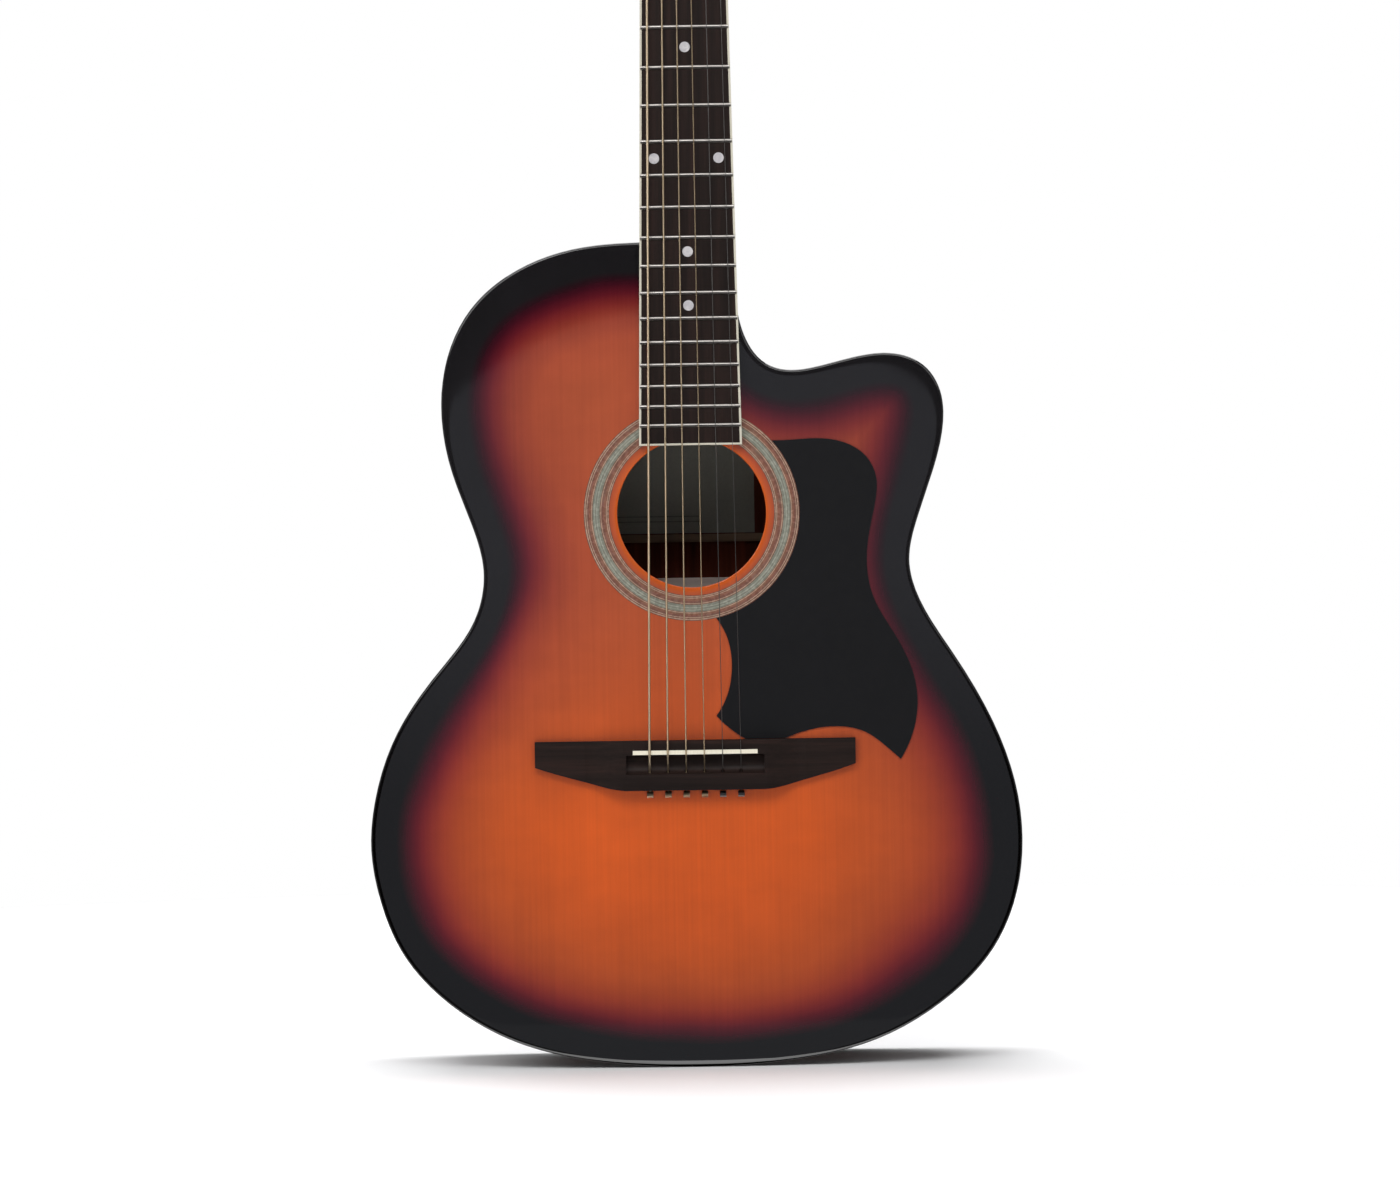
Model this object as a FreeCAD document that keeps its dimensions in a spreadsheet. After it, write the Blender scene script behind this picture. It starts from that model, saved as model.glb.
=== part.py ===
"""Cutaway acoustic guitar: hollow body, tenoned neck, pinless bridge and six open-gear tuners.

Frame: +Z runs up the neck, +X is the cutaway (treble) side, the soundboard faces -Y.
The origin is at the lowest point of the tail, on the centreline, half way through the body's depth.
"""
import FreeCAD, Part
import os
from math import acos, asin, atan2, cos, degrees, pi, radians, sin, sqrt, tan
from FreeCAD import Placement, Rotation, Vector

DRIVING = {
    "body_length": 471.6,
    "body_depth": 92.0,
    "lower_bout": 372.0,
    "heel_width": 54.0,
    "top_thickness": 2.8,
    "back_thickness": 2.6,
    "side_thickness": 2.0,
    "plate_rounding": 1.6,
    "lining_width": 6.0,
    "lining_height": 13.0,
    "soundhole_radius": 42.5,
    "soundhole_height": 316.5,
    "scale_length": 650.0,
    "nut_line": 833.9,
    "nut_width": 43.0,
    "board_end": 355.1,
    "board_end_width": 58.7,
    "board_thickness": 6.0,
    "board_radius": 400.0,
    "binding_width": 1.2,
    "fret_count": 22.0,
    "fret_crown": 1.0,
    "fret_width": 2.2,
    "nut_thickness": 5.0,
    "neck_depth_nut": 14.5,
    "neck_depth_heel": 17.5,
    "headstock_length": 182.5,
    "headstock_thickness": 15.0,
    "headstock_tilt": 14.0,
    "pickguard_thickness": 0.8,
    "bridge_height": 8.5,
    "bridge_length": 183.0,
    "saddle_line": 180.2,
    "saddle_height": 11.0,
    "saddle_length": 71.0,
    "saddle_thickness": 2.4,
    "string_spread_saddle": 52.0,
    "string_spread_nut": 36.5,
    "post_offset": 26.5,
    "first_post": 42.0,
    "post_spacing": 40.0,
    "post_radius": 3.0,
    "post_waist": 2.6,
    "gear_teeth": 14.0,
    "gear_pitch_radius": 5.0,
    "worm_pitch_radius": 3.4,
    "worm_shaft_radius": 2.0,
    "running_clearance": 0.05,
}

doc = FreeCAD.newDocument("acoustic_guitar")
sheet = doc.addObject("Spreadsheet::Sheet", "Sizes")
for row, (alias, value) in enumerate(DRIVING.items(), start=1):
    sheet.set(f"A{row}", alias)
    sheet.set(f"B{row}", str(value))
    sheet.setAlias(f"B{row}", alias)
doc.recompute()


def size(alias):
    """Value of a driving dimension, read from the sheet."""
    return float(sheet.get(alias))


FRONT = -size("body_depth") / 2
BACK = size("body_depth") / 2
INNER_FRONT = FRONT + size("top_thickness")
INNER_BACK = BACK - size("back_thickness")
LENGTH = size("body_length")
HALF_HEEL = size("heel_width") / 2
NUT_LINE = size("nut_line")
NUT_BACK = NUT_LINE + size("nut_thickness")
BOARD_TOP = FRONT - size("board_thickness")
BOARD_AXIS = BOARD_TOP + size("board_radius")
HOLE_Z = size("soundhole_height")
STRING_DIAMETERS = {1: 0.30, 2: 0.41, 3: 0.61, 4: 0.81, 5: 1.07, 6: 1.35}
CLEAR = size("running_clearance")
HEADSTOCK = Placement(Vector(0, FRONT, NUT_BACK), Rotation(Vector(1, 0, 0), -size("headstock_tilt")))
EXPORTED = {}


# ---------------------------------------------------------------- helpers

def keep(obj, label):
    """Give an object the name of its sub-part and put it on the list of sub-parts."""
    obj.Label = label
    EXPORTED[label] = obj
    return obj


def bind(obj, **expressions):
    """Bind properties to formulas over the sheet."""
    for prop, formula in expressions.items():
        obj.setExpression(prop.replace("_dot_", "."), formula)
    return obj


def feature(name, shape, placement=None):
    """A plain shape in the document, placed after its shape is set."""
    obj = doc.addObject("Part::Feature", name)
    obj.Shape = shape
    if placement is not None:
        obj.Placement = placement
    return obj


def boolean(kind, name, base, tools):
    """Part::Cut, Part::Fuse or Part::Common of two objects; several tools are joined first."""
    if isinstance(tools, list):
        joined = doc.addObject("Part::MultiFuse", name + "_tools")
        joined.Shapes = tools
        tools = joined
    obj = doc.addObject("Part::" + kind, name)
    obj.Base = base
    obj.Tool = tools
    return obj


def box(name, low, high):
    """Part::Box between two corners."""
    obj = doc.addObject("Part::Box", name)
    obj.Length = high[0] - low[0]
    obj.Width = high[1] - low[1]
    obj.Height = high[2] - low[2]
    obj.Placement.Base = Vector(*low)
    return obj


def cylinder_along_z(name, radius_alias, x, y, low, high):
    """Part::Cylinder parallel to Z whose radius follows a cell of the sheet."""
    obj = doc.addObject("Part::Cylinder", name)
    bind(obj, Radius="Sizes." + radius_alias)
    obj.Height = high - low
    obj.Placement.Base = Vector(x, y, low)
    return obj


def origin_plane(body, role):
    """One of a body's own origin planes."""
    return next(f for f in body.Origin.OriginFeatures if f.Role == role)


def plate(name, geometry, front, thickness):
    """PartDesign body: a sketch on the XZ plane padded towards +Y, its front face at the given depth."""
    body = doc.addObject("PartDesign::Body", name)
    sketch = body.newObject("Sketcher::SketchObject", name + "_outline")
    sketch.AttachmentSupport = (origin_plane(body, "XZ_Plane"), [""])
    sketch.MapMode = "FlatFace"
    sketch.addGeometry(geometry, False)
    pad = body.newObject("PartDesign::Pad", name + "_pad")
    pad.Profile = sketch
    bind(pad, Length=thickness)
    pad.Reversed = True
    body.setExpression("Placement.Base.y", front)
    return body


def segment(a, b):
    return Part.LineSegment(Vector(a[0], a[1], 0), Vector(b[0], b[1], 0))


def polygon(points):
    """Closed run of straight segments for a sketch."""
    return [segment(a, b) for a, b in zip(points, points[1:] + points[:1])]


def spline(points, start_direction=None, end_direction=None):
    """Interpolated curve through sketch points, with end directions where they are given."""
    curve = Part.BSplineCurve()
    spots = [Vector(x, z, 0) for x, z in points]
    lengths = [0.0]
    for a, b in zip(spots, spots[1:]):
        lengths.append(lengths[-1] + a.distanceToPoint(b))
    if start_direction is None:
        curve.interpolate(Points=spots, Parameters=lengths)
    else:
        curve.interpolate(Points=spots, Parameters=lengths, Scale=False,
                          InitialTangent=Vector(*start_direction, 0),
                          FinalTangent=Vector(*end_direction, 0))
    return curve


def circle(x, z, radius):
    return Part.Circle(Vector(x, z, 0), Vector(0, 0, 1), radius)


def lathe(profile, axis_point, axis):
    """Solid of revolution from a closed list of points."""
    wire = Part.makePolygon(profile + profile[:1])
    return Part.Face(wire).revolve(axis_point, axis, 360)


def compound(shapes):
    return Part.Compound(shapes)


# ---------------------------------------------------------------- body outline

BASS_SIDE = [(-27, 471.6), (-62, 468.9), (-96, 457.7), (-124, 435.5), (-139, 405), (-142.2, 377),
             (-137, 343), (-125, 309.5), (-119.3, 284), (-125.5, 256), (-146, 228), (-170.5, 192.5),
             (-183, 156.5), (-186, 128), (-181.5, 99), (-168, 66), (-142, 37.5), (-100, 13.8),
             (-52, 3.2), (0, 0)]
TREBLE_SIDE = [(0, 0), (52, 3.2), (100, 13.8), (142, 37.5), (168.5, 65), (182, 95), (186.3, 128),
               (183.5, 156), (171.5, 192.7), (147.5, 235.5), (130, 264.5), (124, 287), (128.5, 310.5),
               (138.3, 339), (144.3, 364), (143.5, 383), (135, 398), (120, 405.5), (104, 406),
               (86, 402.4), (70, 398.6), (57, 397.4), (44, 401.2), (34.5, 411.5), (29, 426), (27, 442)]
OUTLINE_LENGTH = 471.6
OUTLINE_WIDTH = 372.0
STATIONS = 60


def scaled(points):
    """Outline points stretched to the body length and lower bout of the sheet."""
    wide = size("lower_bout") / OUTLINE_WIDTH
    tall = LENGTH / OUTLINE_LENGTH
    return [(x * wide, z * tall) for x, z in points]


def rim_curves(inset):
    """Bass and treble rim curves, moved inwards by an inset at right angles to the outline."""
    curves = []
    for points, start, end in ((BASS_SIDE, (-1, -0.02), (1, 0)), (TREBLE_SIDE, (1, 0), (0, 1))):
        outer = spline(scaled(points), start, end)
        if inset == 0:
            curves.append(outer)
            continue
        moved = []
        for i in range(STATIONS + 1):
            u = outer.FirstParameter + (outer.LastParameter - outer.FirstParameter) * i / STATIONS
            spot = outer.value(u)
            way = outer.tangent(u)[0]
            moved.append((spot.x - way.y * inset, spot.y + way.x * inset))
        curves.append(spline(moved))
    return curves


def closed_rim(inset):
    """Whole outline of the body at an inset, as sketch geometry."""
    bass, treble = rim_curves(inset)
    start = bass.StartPoint
    top = treble.EndPoint
    corner = (top.x, start.y)
    return [bass, treble, segment((top.x, top.y), corner), segment(corner, (start.x, start.y))]


def rim_prism(name, inset, front, back):
    """Solid block with the body's outline at an inset, used to trim pieces inside the body."""
    return plate(name, closed_rim(inset), f"{front}", f"{back - front} mm")


def half_rim(side, inset, width, slot):
    """Closed strip between two insets along one half of the rim; a slot is left at the heel."""
    pick = 0 if side == "bass" else 1
    outer = rim_curves(inset)[pick]
    inner = rim_curves(inset + width)[pick]
    if side == "bass":
        o_top, i_top = outer.StartPoint, inner.StartPoint
        o_tail, i_tail = outer.EndPoint, inner.EndPoint
        return [outer, inner,
                segment((o_tail.x, o_tail.y), (i_tail.x, i_tail.y)),
                segment((o_top.x, o_top.y), (-slot, o_top.y)),
                segment((-slot, o_top.y), (-slot, i_top.y)),
                segment((-slot, i_top.y), (i_top.x, i_top.y))]
    o_top, i_top = outer.EndPoint, inner.EndPoint
    o_tail, i_tail = outer.StartPoint, inner.StartPoint
    o_z, i_z = LENGTH - inset, LENGTH - inset - width
    return [outer, inner,
            segment((o_tail.x, o_tail.y), (i_tail.x, i_tail.y)),
            segment((o_top.x, o_top.y), (o_top.x, o_z)),
            segment((o_top.x, o_z), (slot, o_z)),
            segment((slot, o_z), (slot, i_z)),
            segment((slot, i_z), (i_top.x, i_z)),
            segment((i_top.x, i_z), (i_top.x, i_top.y))]


# ---------------------------------------------------------------- body shell

HALF_SLOT = 8.0
DEPTH_INSIDE = "Sizes.body_depth - Sizes.top_thickness - Sizes.back_thickness"
FRONT_FACE = "-Sizes.body_depth / 2"
INNER_FRONT_FACE = "-Sizes.body_depth / 2 + Sizes.top_thickness"
INNER_BACK_FACE = "Sizes.body_depth / 2 - Sizes.back_thickness"
ROSETTE_DEPTH = 1.0
ROSETTE_RADII = (47.1, 48.5, 51.5, 56.0, 60.4, 61.7)
INSIDE = size("side_thickness")
INSIDE_LINING = INSIDE + size("lining_width")


def rim_edges(solid, depth):
    """Names of the curved rim edges of a plate that lie at one depth."""
    names = []
    for i, edge in enumerate(solid.Edges, start=1):
        limits = edge.BoundBox
        flat = abs(limits.YMin - depth) < 0.001 and abs(limits.YMax - depth) < 0.001
        if flat and limits.ZLength > 300:
            names.append(f"Edge{i}")
    return names


def round_rim(body, depth_in_body):
    """Round the outer rim edge of a plate."""
    doc.recompute()
    pad = body.Tip
    fillet = body.newObject("PartDesign::Fillet", body.Name + "_rounding")
    fillet.Base = (pad, rim_edges(pad.Shape, depth_in_body))
    bind(fillet, Radius="Sizes.plate_rounding")
    body.Tip = fillet


def rosette_ring(name, inner, outer):
    """Flat ring let into the front of the soundboard."""
    rings = [circle(0, HOLE_Z, inner), circle(0, HOLE_Z, outer)]
    return plate(name, rings, FRONT_FACE, f"{ROSETTE_DEPTH} mm")


def make_soundboard():
    """Flat top with a rounded rim, the soundhole and the channel for the rosette."""
    outline = closed_rim(0) + [circle(0, HOLE_Z, size("soundhole_radius"))]
    blank = plate("soundboard_blank", outline, FRONT_FACE, "Sizes.top_thickness")
    round_rim(blank, 0)
    channel = rosette_ring("rosette_channel", ROSETTE_RADII[0], ROSETTE_RADII[-1])
    keep(boolean("Cut", "soundboard_cut", blank, channel), "soundboard")


def make_rosette():
    """Five rings side by side: thin line, band, broad shell ring, band, thin line."""
    rings = [rosette_ring(f"inlay_{i}", inner, outer)
             for i, (inner, outer) in enumerate(zip(ROSETTE_RADII, ROSETTE_RADII[1:]))]
    group = doc.addObject("Part::Compound", "rosette_rings")
    group.Links = rings
    keep(group, "rosette")


def make_back_plate():
    body = plate("back_plate_body", closed_rim(0), INNER_BACK_FACE, "Sizes.back_thickness")
    round_rim(body, size("back_thickness"))
    keep(body, "back_plate")


def make_sides():
    for side in ("bass", "treble"):
        strip = half_rim(side, 0, INSIDE, HALF_SLOT)
        keep(plate(f"side_{side}_body", strip, INNER_FRONT_FACE, DEPTH_INSIDE), f"side_{side}")


NECK_BLOCK = ((-32.0, 424.0), (HALF_HEEL - INSIDE, LENGTH - INSIDE))
TENON = ((-HALF_SLOT, INNER_FRONT, 452.0), (HALF_SLOT, 20.0, LENGTH))
TAIL_BLOCK_HALF = 36.0
TAIL_BLOCK_TOP = 22.0


def make_blocks():
    """Neck block with the mortise for the tenon, and the tail block fitted to the curved tail."""
    (left, low), (right, high) = NECK_BLOCK
    corners = [(left, low), (right, low), (right, high), (left, high)]
    blank = plate("neck_block_blank", polygon(corners), INNER_FRONT_FACE, DEPTH_INSIDE)
    inside_rim = rim_prism("neck_trim", INSIDE, INNER_FRONT, INNER_BACK)
    mortise = box("mortise", *TENON)
    keep(boolean("Cut", "neck_block_cut", boolean("Common", "neck_block_fit", blank, inside_rim), mortise),
         "neck_block")
    slab = box("tail_slab", (-TAIL_BLOCK_HALF, INNER_FRONT, 0),
               (TAIL_BLOCK_HALF, INNER_BACK, TAIL_BLOCK_TOP))
    inside = rim_prism("tail_trim", INSIDE, INNER_FRONT, INNER_BACK)
    keep(boolean("Common", "tail_block_fit", slab, inside), "tail_block")


def make_linings():
    """Lining strips glued inside the rim under the soundboard and over the back."""
    tall = size("lining_height")
    for label, front in (("top_lining", INNER_FRONT), ("back_lining", INNER_BACK - tall)):
        loops = closed_rim(INSIDE) + closed_rim(INSIDE_LINING)
        ring = plate(label + "_ring", loops, f"{front}", "Sizes.lining_height")
        (left, low), (right, high) = NECK_BLOCK
        top_gap = box(label + "_top_gap", (left, front - 1, low),
                      (right + 10, front + tall + 1, high + 10))
        tail_gap = box(label + "_tail_gap", (-TAIL_BLOCK_HALF, front - 1, -1),
                       (TAIL_BLOCK_HALF, front + tall + 1, TAIL_BLOCK_TOP))
        keep(boolean("Cut", label + "_cut", ring, [top_gap, tail_gap]), label)


# ---------------------------------------------------------------- braces

def bar(name, start, end, width, front, back):
    """Straight wooden bar between two points of the plate, lying between two depths."""
    dx, dz = end[0] - start[0], end[1] - start[1]
    length = sqrt(dx * dx + dz * dz)
    obj = doc.addObject("Part::Box", name)
    obj.Length = length
    obj.Width = back - front
    obj.Height = width
    turn = Rotation(Vector(0, -1, 0), degrees(atan2(dz, dx)))
    half = turn.multVec(Vector(0, 0, -width / 2))
    obj.Placement = Placement(Vector(start[0], front, start[1]) + half, turn)
    return obj


def fitted(name, bars, front, back):
    """Bars trimmed where they meet the linings, as one group of separate pieces."""
    region = rim_prism(name + "_region", INSIDE_LINING, front - 1, back + 1)
    trimmed = [boolean("Common", f"{name}_{i}", piece, region) for i, piece in enumerate(bars)]
    if len(trimmed) == 1:
        return trimmed[0]
    group = doc.addObject("Part::Compound", name + "_group")
    group.Links = trimmed
    return group


X_CROSSING = 243.0
X_HALF_ANGLE = 48.0
X_WIDTH = 8.0
X_DEPTH = 14.0
X_REACH_UP = 175.0
X_REACH_DOWN = 240.0


def x_spot(lean, reach):
    """Point on the middle line of a leg of the X, at a reach from the crossing towards the tail."""
    along = radians(X_HALF_ANGLE)
    return lean * reach * sin(along), X_CROSSING - reach * cos(along)


def x_leg(name, lean, down=X_REACH_DOWN, up=X_REACH_UP):
    """One leg of the X brace, leaning to the bass (-1) or treble (+1) side towards the tail."""
    return bar(name, x_spot(lean, down), x_spot(lean, -up), X_WIDTH, INNER_FRONT, INNER_FRONT + X_DEPTH)


def make_x_brace():
    """Two legs halved into each other where they cross."""
    half = X_WIDTH / sin(radians(X_HALF_ANGLE))
    middle = INNER_FRONT + X_DEPTH / 2
    legs = []
    for lean, low, high in ((-1, middle, middle + X_DEPTH), (1, middle - X_DEPTH, middle)):
        leg = x_leg(f"x_leg_{lean + 1}", lean)
        lap = x_leg(f"x_lap_{lean + 1}", lean, half, half)
        other = x_leg(f"x_other_{lean + 1}", -lean)
        crossing = boolean("Common", f"x_crossing_{lean + 1}", lap, other)
        layer = box(f"x_layer_{lean + 1}", (-50, low, X_CROSSING - 50), (50, high, X_CROSSING + 50))
        notch = boolean("Common", f"x_notch_{lean + 1}", crossing, layer)
        legs.append(boolean("Cut", f"x_halved_{lean + 1}", leg, notch))
    keep(fitted("x_brace_fit", legs, INNER_FRONT, INNER_FRONT + X_DEPTH), "x_brace")


UPPER_BAR_Z = 388.0
UPPER_BAR_WIDTH = 10.0
UPPER_BAR_BACK = INNER_FRONT + 17.0
SMALL_BAR_WIDTH = 6.0
SMALL_BAR_BACK = INNER_FRONT + 9.0
TONE_BARS = [((-98, 132), (30, 96)), ((-62, 88), (46, 58))]
FINGER_BARS = [((-150, 176), (-92, 196)), ((150, 176), (92, 196)),
               ((-140, 118), (-120, 133)), ((100, 100), (146, 112))]


def make_top_braces():
    """Brace above the soundhole, then tone bars and finger braces around the X."""
    reach = size("lower_bout") / 2
    upper = bar("upper_bar", (-reach, UPPER_BAR_Z), (reach, UPPER_BAR_Z), UPPER_BAR_WIDTH,
                INNER_FRONT, UPPER_BAR_BACK)
    keep(fitted("transverse_fit", [upper], INNER_FRONT, UPPER_BAR_BACK), "transverse_brace")
    bars = [bar(f"small_bar_{i}", a, b, SMALL_BAR_WIDTH, INNER_FRONT, SMALL_BAR_BACK)
            for i, (a, b) in enumerate(TONE_BARS + FINGER_BARS)]
    clearance = [x_leg("small_bar_clear_bass", -1), x_leg("small_bar_clear_treble", 1)]
    cut = [boolean("Cut", f"small_bar_cut_{i}", piece, clearance) for i, piece in enumerate(bars)]
    keep(fitted("small_fit", cut, INNER_FRONT, SMALL_BAR_BACK), "small_top_braces")


BRIDGE_PLATE = (150.0, 190.0)
BRIDGE_PLATE_THICKNESS = 2.5


def make_bridge_plate():
    """Hardwood plate under the bridge, filling the fork of the X."""
    low, high = BRIDGE_PLATE
    slope = tan(radians(X_HALF_ANGLE))
    gap = X_WIDTH / 2 / cos(radians(X_HALF_ANGLE))
    corners = [(side * ((X_CROSSING - level) * slope - gap), level)
               for side, level in ((-1, low), (1, low), (1, high), (-1, high))]
    outline = polygon(corners)
    body = plate("bridge_plate_body", outline, INNER_FRONT_FACE, f"{BRIDGE_PLATE_THICKNESS} mm")
    keep(body, "bridge_plate")


BACK_BRACES = ((402.0, 8.0, 12.0), (303.4, 4.7, 3.0), (273.9, 12.0, 12.0),
               (178.0, 14.0, 12.0), (88.0, 14.0, 12.0))


def make_back_braces():
    """Four cross braces and a thin strip below the label; each has a height, a width and a depth."""
    reach = size("lower_bout") / 2
    bars = [bar(f"back_bar_{i}", (-reach, level), (reach, level), width, INNER_BACK - deep, INNER_BACK)
            for i, (level, width, deep) in enumerate(BACK_BRACES)]
    deepest = max(deep for _, _, deep in BACK_BRACES)
    keep(fitted("back_bar_fit", bars, INNER_BACK - deepest, INNER_BACK), "back_braces")


LABEL_LOW = (-50.0, 306.3)
LABEL_HIGH = (37.0, 372.0)
PAPER = 0.3


def make_label():
    """Paper label glued inside the back, behind the soundhole."""
    (left, low), (right, high) = LABEL_LOW, LABEL_HIGH
    corners = [(left, low), (right, low), (right, high), (left, high)]
    front = f"{INNER_BACK_FACE} - {PAPER}"
    keep(plate("label_body", polygon(corners), front, f"{PAPER} mm"), "label")


# ---------------------------------------------------------------- pickguard, bridge and saddle

PICKGUARD_UPPER = [(46.2, 357.1), (60, 357.6), (74, 358), (89, 355), (100, 347.5), (105.6, 335.5), (105, 322),
                   (101, 303), (99.6, 285), (103.5, 266), (113.5, 248), (123, 229.5), (127.2, 212),
                   (125, 191), (117.3, 174.3)]
PICKGUARD_LOWER = [(117.3, 174.3), (108, 182.6), (97, 190.2), (81.5, 193.5), (65, 191.6), (51.2, 187.2)]
PICKGUARD_TIP = [(29, 187.2), (20.5, 192.8), (12.4, 200.5)]
PICKGUARD_INNER = [(12.4, 200.5), (18.4, 211), (21.6, 226), (19.6, 244), (13.2, 256.2)]


def make_pickguard():
    """Thin plate whose upper left edge follows the rosette."""
    radius = sqrt(PICKGUARD_INNER[-1][0] ** 2 + (HOLE_Z - PICKGUARD_INNER[-1][1]) ** 2)
    start_angle = atan2(PICKGUARD_INNER[-1][1] - HOLE_Z, PICKGUARD_INNER[-1][0])
    end_angle = atan2(PICKGUARD_UPPER[0][1] - HOLE_Z, PICKGUARD_UPPER[0][0])
    arc = Part.ArcOfCircle(circle(0, HOLE_Z, radius), start_angle, end_angle)
    arc_end = arc.EndPoint
    upper = spline([(arc_end.x, arc_end.y)] + PICKGUARD_UPPER[1:])
    arc_start = arc.StartPoint
    inner = spline(PICKGUARD_INNER[:-1] + [(arc_start.x, arc_start.y)])
    flat = segment(PICKGUARD_LOWER[-1], PICKGUARD_TIP[0])
    outline = [arc, upper, spline(PICKGUARD_LOWER), flat, spline(PICKGUARD_TIP), inner]
    front = "-Sizes.body_depth / 2 - Sizes.pickguard_thickness"
    keep(plate("pickguard_body", outline, front, "Sizes.pickguard_thickness"), "pickguard")


BRIDGE_TOP = 187.0
BRIDGE_WING_LOW = 172.3
BRIDGE_TAIL = 158.5
TIE_BLOCK_HALF = 39.4
SADDLE_Z = size("saddle_line")
SADDLE_TOP = FRONT - size("saddle_height")
SADDLE_AXIS = SADDLE_TOP + size("board_radius")
BRIDGE_FRONT = FRONT - size("bridge_height")
CHANNEL_Z = 173.2
CHANNEL_RADIUS = 5.5
CHANNEL_DEPTH = 1.0
WING_START = 41.0
WING_FLOOR = FRONT - 3.6
STRING_HOLE_RADIUS = 1.1
SLOT_FLOOR = FRONT - 4.0
STRING_GAP = 0.02


def string_x(number, spread):
    """Sideways place of a string; string 1 is on the treble side."""
    return spread / 2 - (number - 1) * spread / 5


def string_y(axis, x, number):
    """Centre depth of a string lying on a crowned edge."""
    rest = axis - sqrt(size("board_radius") ** 2 - x * x)
    return rest - STRING_DIAMETERS[number] / 2 - STRING_GAP


def string_hole_ends(number):
    """Middle points of the two mouths of a string's hole through the tie block."""
    x = string_x(number, size("string_spread_saddle"))
    return Vector(x, FRONT - 2.6, 156.0), Vector(x, FRONT - 5.7, 169.6)


def wing_cutter(name, side):
    """Block above one wing of the bridge, its underside sloping down from the tie block."""
    half = size("bridge_length") / 2 + 1
    above = BRIDGE_FRONT - 1
    slope = [(WING_START, BRIDGE_FRONT), (WING_START + 6, BRIDGE_FRONT + 1.6),
             (WING_START + 13, WING_FLOOR - 0.6), (WING_START + 22, WING_FLOOR)]
    inner = Vector(side * WING_START, above, 0)
    outer = Vector(side * half, above, 0)
    foot = Vector(side * half, WING_FLOOR, 0)
    curve = Part.BSplineCurve()
    curve.interpolate([Vector(side * x, y, 0) for x, y in slope])
    edges = [Part.makeLine(inner, curve.StartPoint), curve.toShape(), Part.makeLine(curve.EndPoint, foot),
             Part.makeLine(foot, outer), Part.makeLine(outer, inner)]
    block = Part.Face(Part.Wire(edges)).extrude(Vector(0, 0, BRIDGE_TOP))
    return feature(name, block)


def make_bridge():
    """Pinless bridge: wings, saddle slot, scooped channel and a tie block with six string holes."""
    half = size("bridge_length") / 2
    shoulder = [(-half, BRIDGE_WING_LOW), (-77, 167.6), (-63, 163.7), (-50, 160.1),
                (-TIE_BLOCK_HALF, BRIDGE_TAIL)]
    mirrored = [(-x, z) for x, z in reversed(shoulder)]
    outline = [segment((-half, BRIDGE_TOP), (-half, BRIDGE_WING_LOW)), spline(shoulder),
               segment(shoulder[-1], mirrored[0]), spline(mirrored),
               segment((half, BRIDGE_WING_LOW), (half, BRIDGE_TOP)),
               segment((half, BRIDGE_TOP), (-half, BRIDGE_TOP))]
    front = "-Sizes.body_depth / 2 - Sizes.bridge_height"
    blank = plate("bridge_blank", outline, front, "Sizes.bridge_height")
    cutters = [wing_cutter("wing_cut_bass", -1), wing_cutter("wing_cut_treble", 1)]
    channel = doc.addObject("Part::Cylinder", "channel")
    channel.Radius = CHANNEL_RADIUS
    channel.Height = 2 * TIE_BLOCK_HALF
    channel.Placement = Placement(Vector(-TIE_BLOCK_HALF, BRIDGE_FRONT - CHANNEL_DEPTH, CHANNEL_Z),
                                  Rotation(Vector(0, 1, 0), 90))
    slot_half = size("saddle_length") / 2
    thick = size("saddle_thickness")
    slot = box("saddle_slot", (-slot_half, BRIDGE_FRONT - 1, SADDLE_Z - thick / 2),
               (slot_half, SLOT_FLOOR, SADDLE_Z + thick / 2))
    holes = []
    for number in STRING_DIAMETERS:
        tail, mouth = string_hole_ends(number)
        way = mouth - tail
        overrun = way.normalize() * 2
        drill = Part.makeCylinder(STRING_HOLE_RADIUS, (mouth - tail).Length + 4, tail - overrun, way)
        holes.append(feature(f"string_hole_{number}", drill))
    keep(boolean("Cut", "bridge_cut", blank, cutters + [channel, slot] + holes), "bridge")


def crowned(name, blank, axis_y, low, high):
    """Blank trimmed to the cylinder that gives a fingerboard-like crown."""
    crown = cylinder_along_z(name + "_crown", "board_radius", 0, axis_y, low - 1, high + 1)
    return boolean("Common", name + "_crowned", blank, crown)


def make_saddle():
    half = size("saddle_length") / 2
    thick = size("saddle_thickness")
    low, high = SADDLE_Z - thick / 2, SADDLE_Z + thick / 2
    strip = box("saddle_strip", (-half, SADDLE_TOP - 1, low), (half, SLOT_FLOOR, high))
    keep(crowned("saddle", strip, SADDLE_AXIS, low, high), "saddle")


# ---------------------------------------------------------------- fretboard

MARKED_FRETS = (3, 5, 7, 9, 15, 17)
DOUBLE_MARK = 12
DOUBLE_MARK_OFFSET = 18.4
MARK_RADIUS = 3.0
SIDE_MARK_RADIUS = 1.0
SIDE_MARK_DEPTH = 1.0
BOARD_FRONT_FACE = "-Sizes.body_depth / 2 - Sizes.board_thickness"
END_BINDING = 1.0
SLOT_WIDTH = 0.6
SLOT_DEPTH = 2.9
TANG_WIDTH = 0.5
TANG_DEPTH = 1.6


def fret_z(number):
    """Height of a fret above the tail; fret 0 is the nut."""
    return NUT_LINE - size("scale_length") * (1 - 2 ** (-number / 12))


def half_board(z):
    """Half the width of the bound fretboard at a height."""
    share = (NUT_LINE - z) / (NUT_LINE - size("board_end"))
    return (size("nut_width") + share * (size("board_end_width") - size("nut_width"))) / 2


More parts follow.
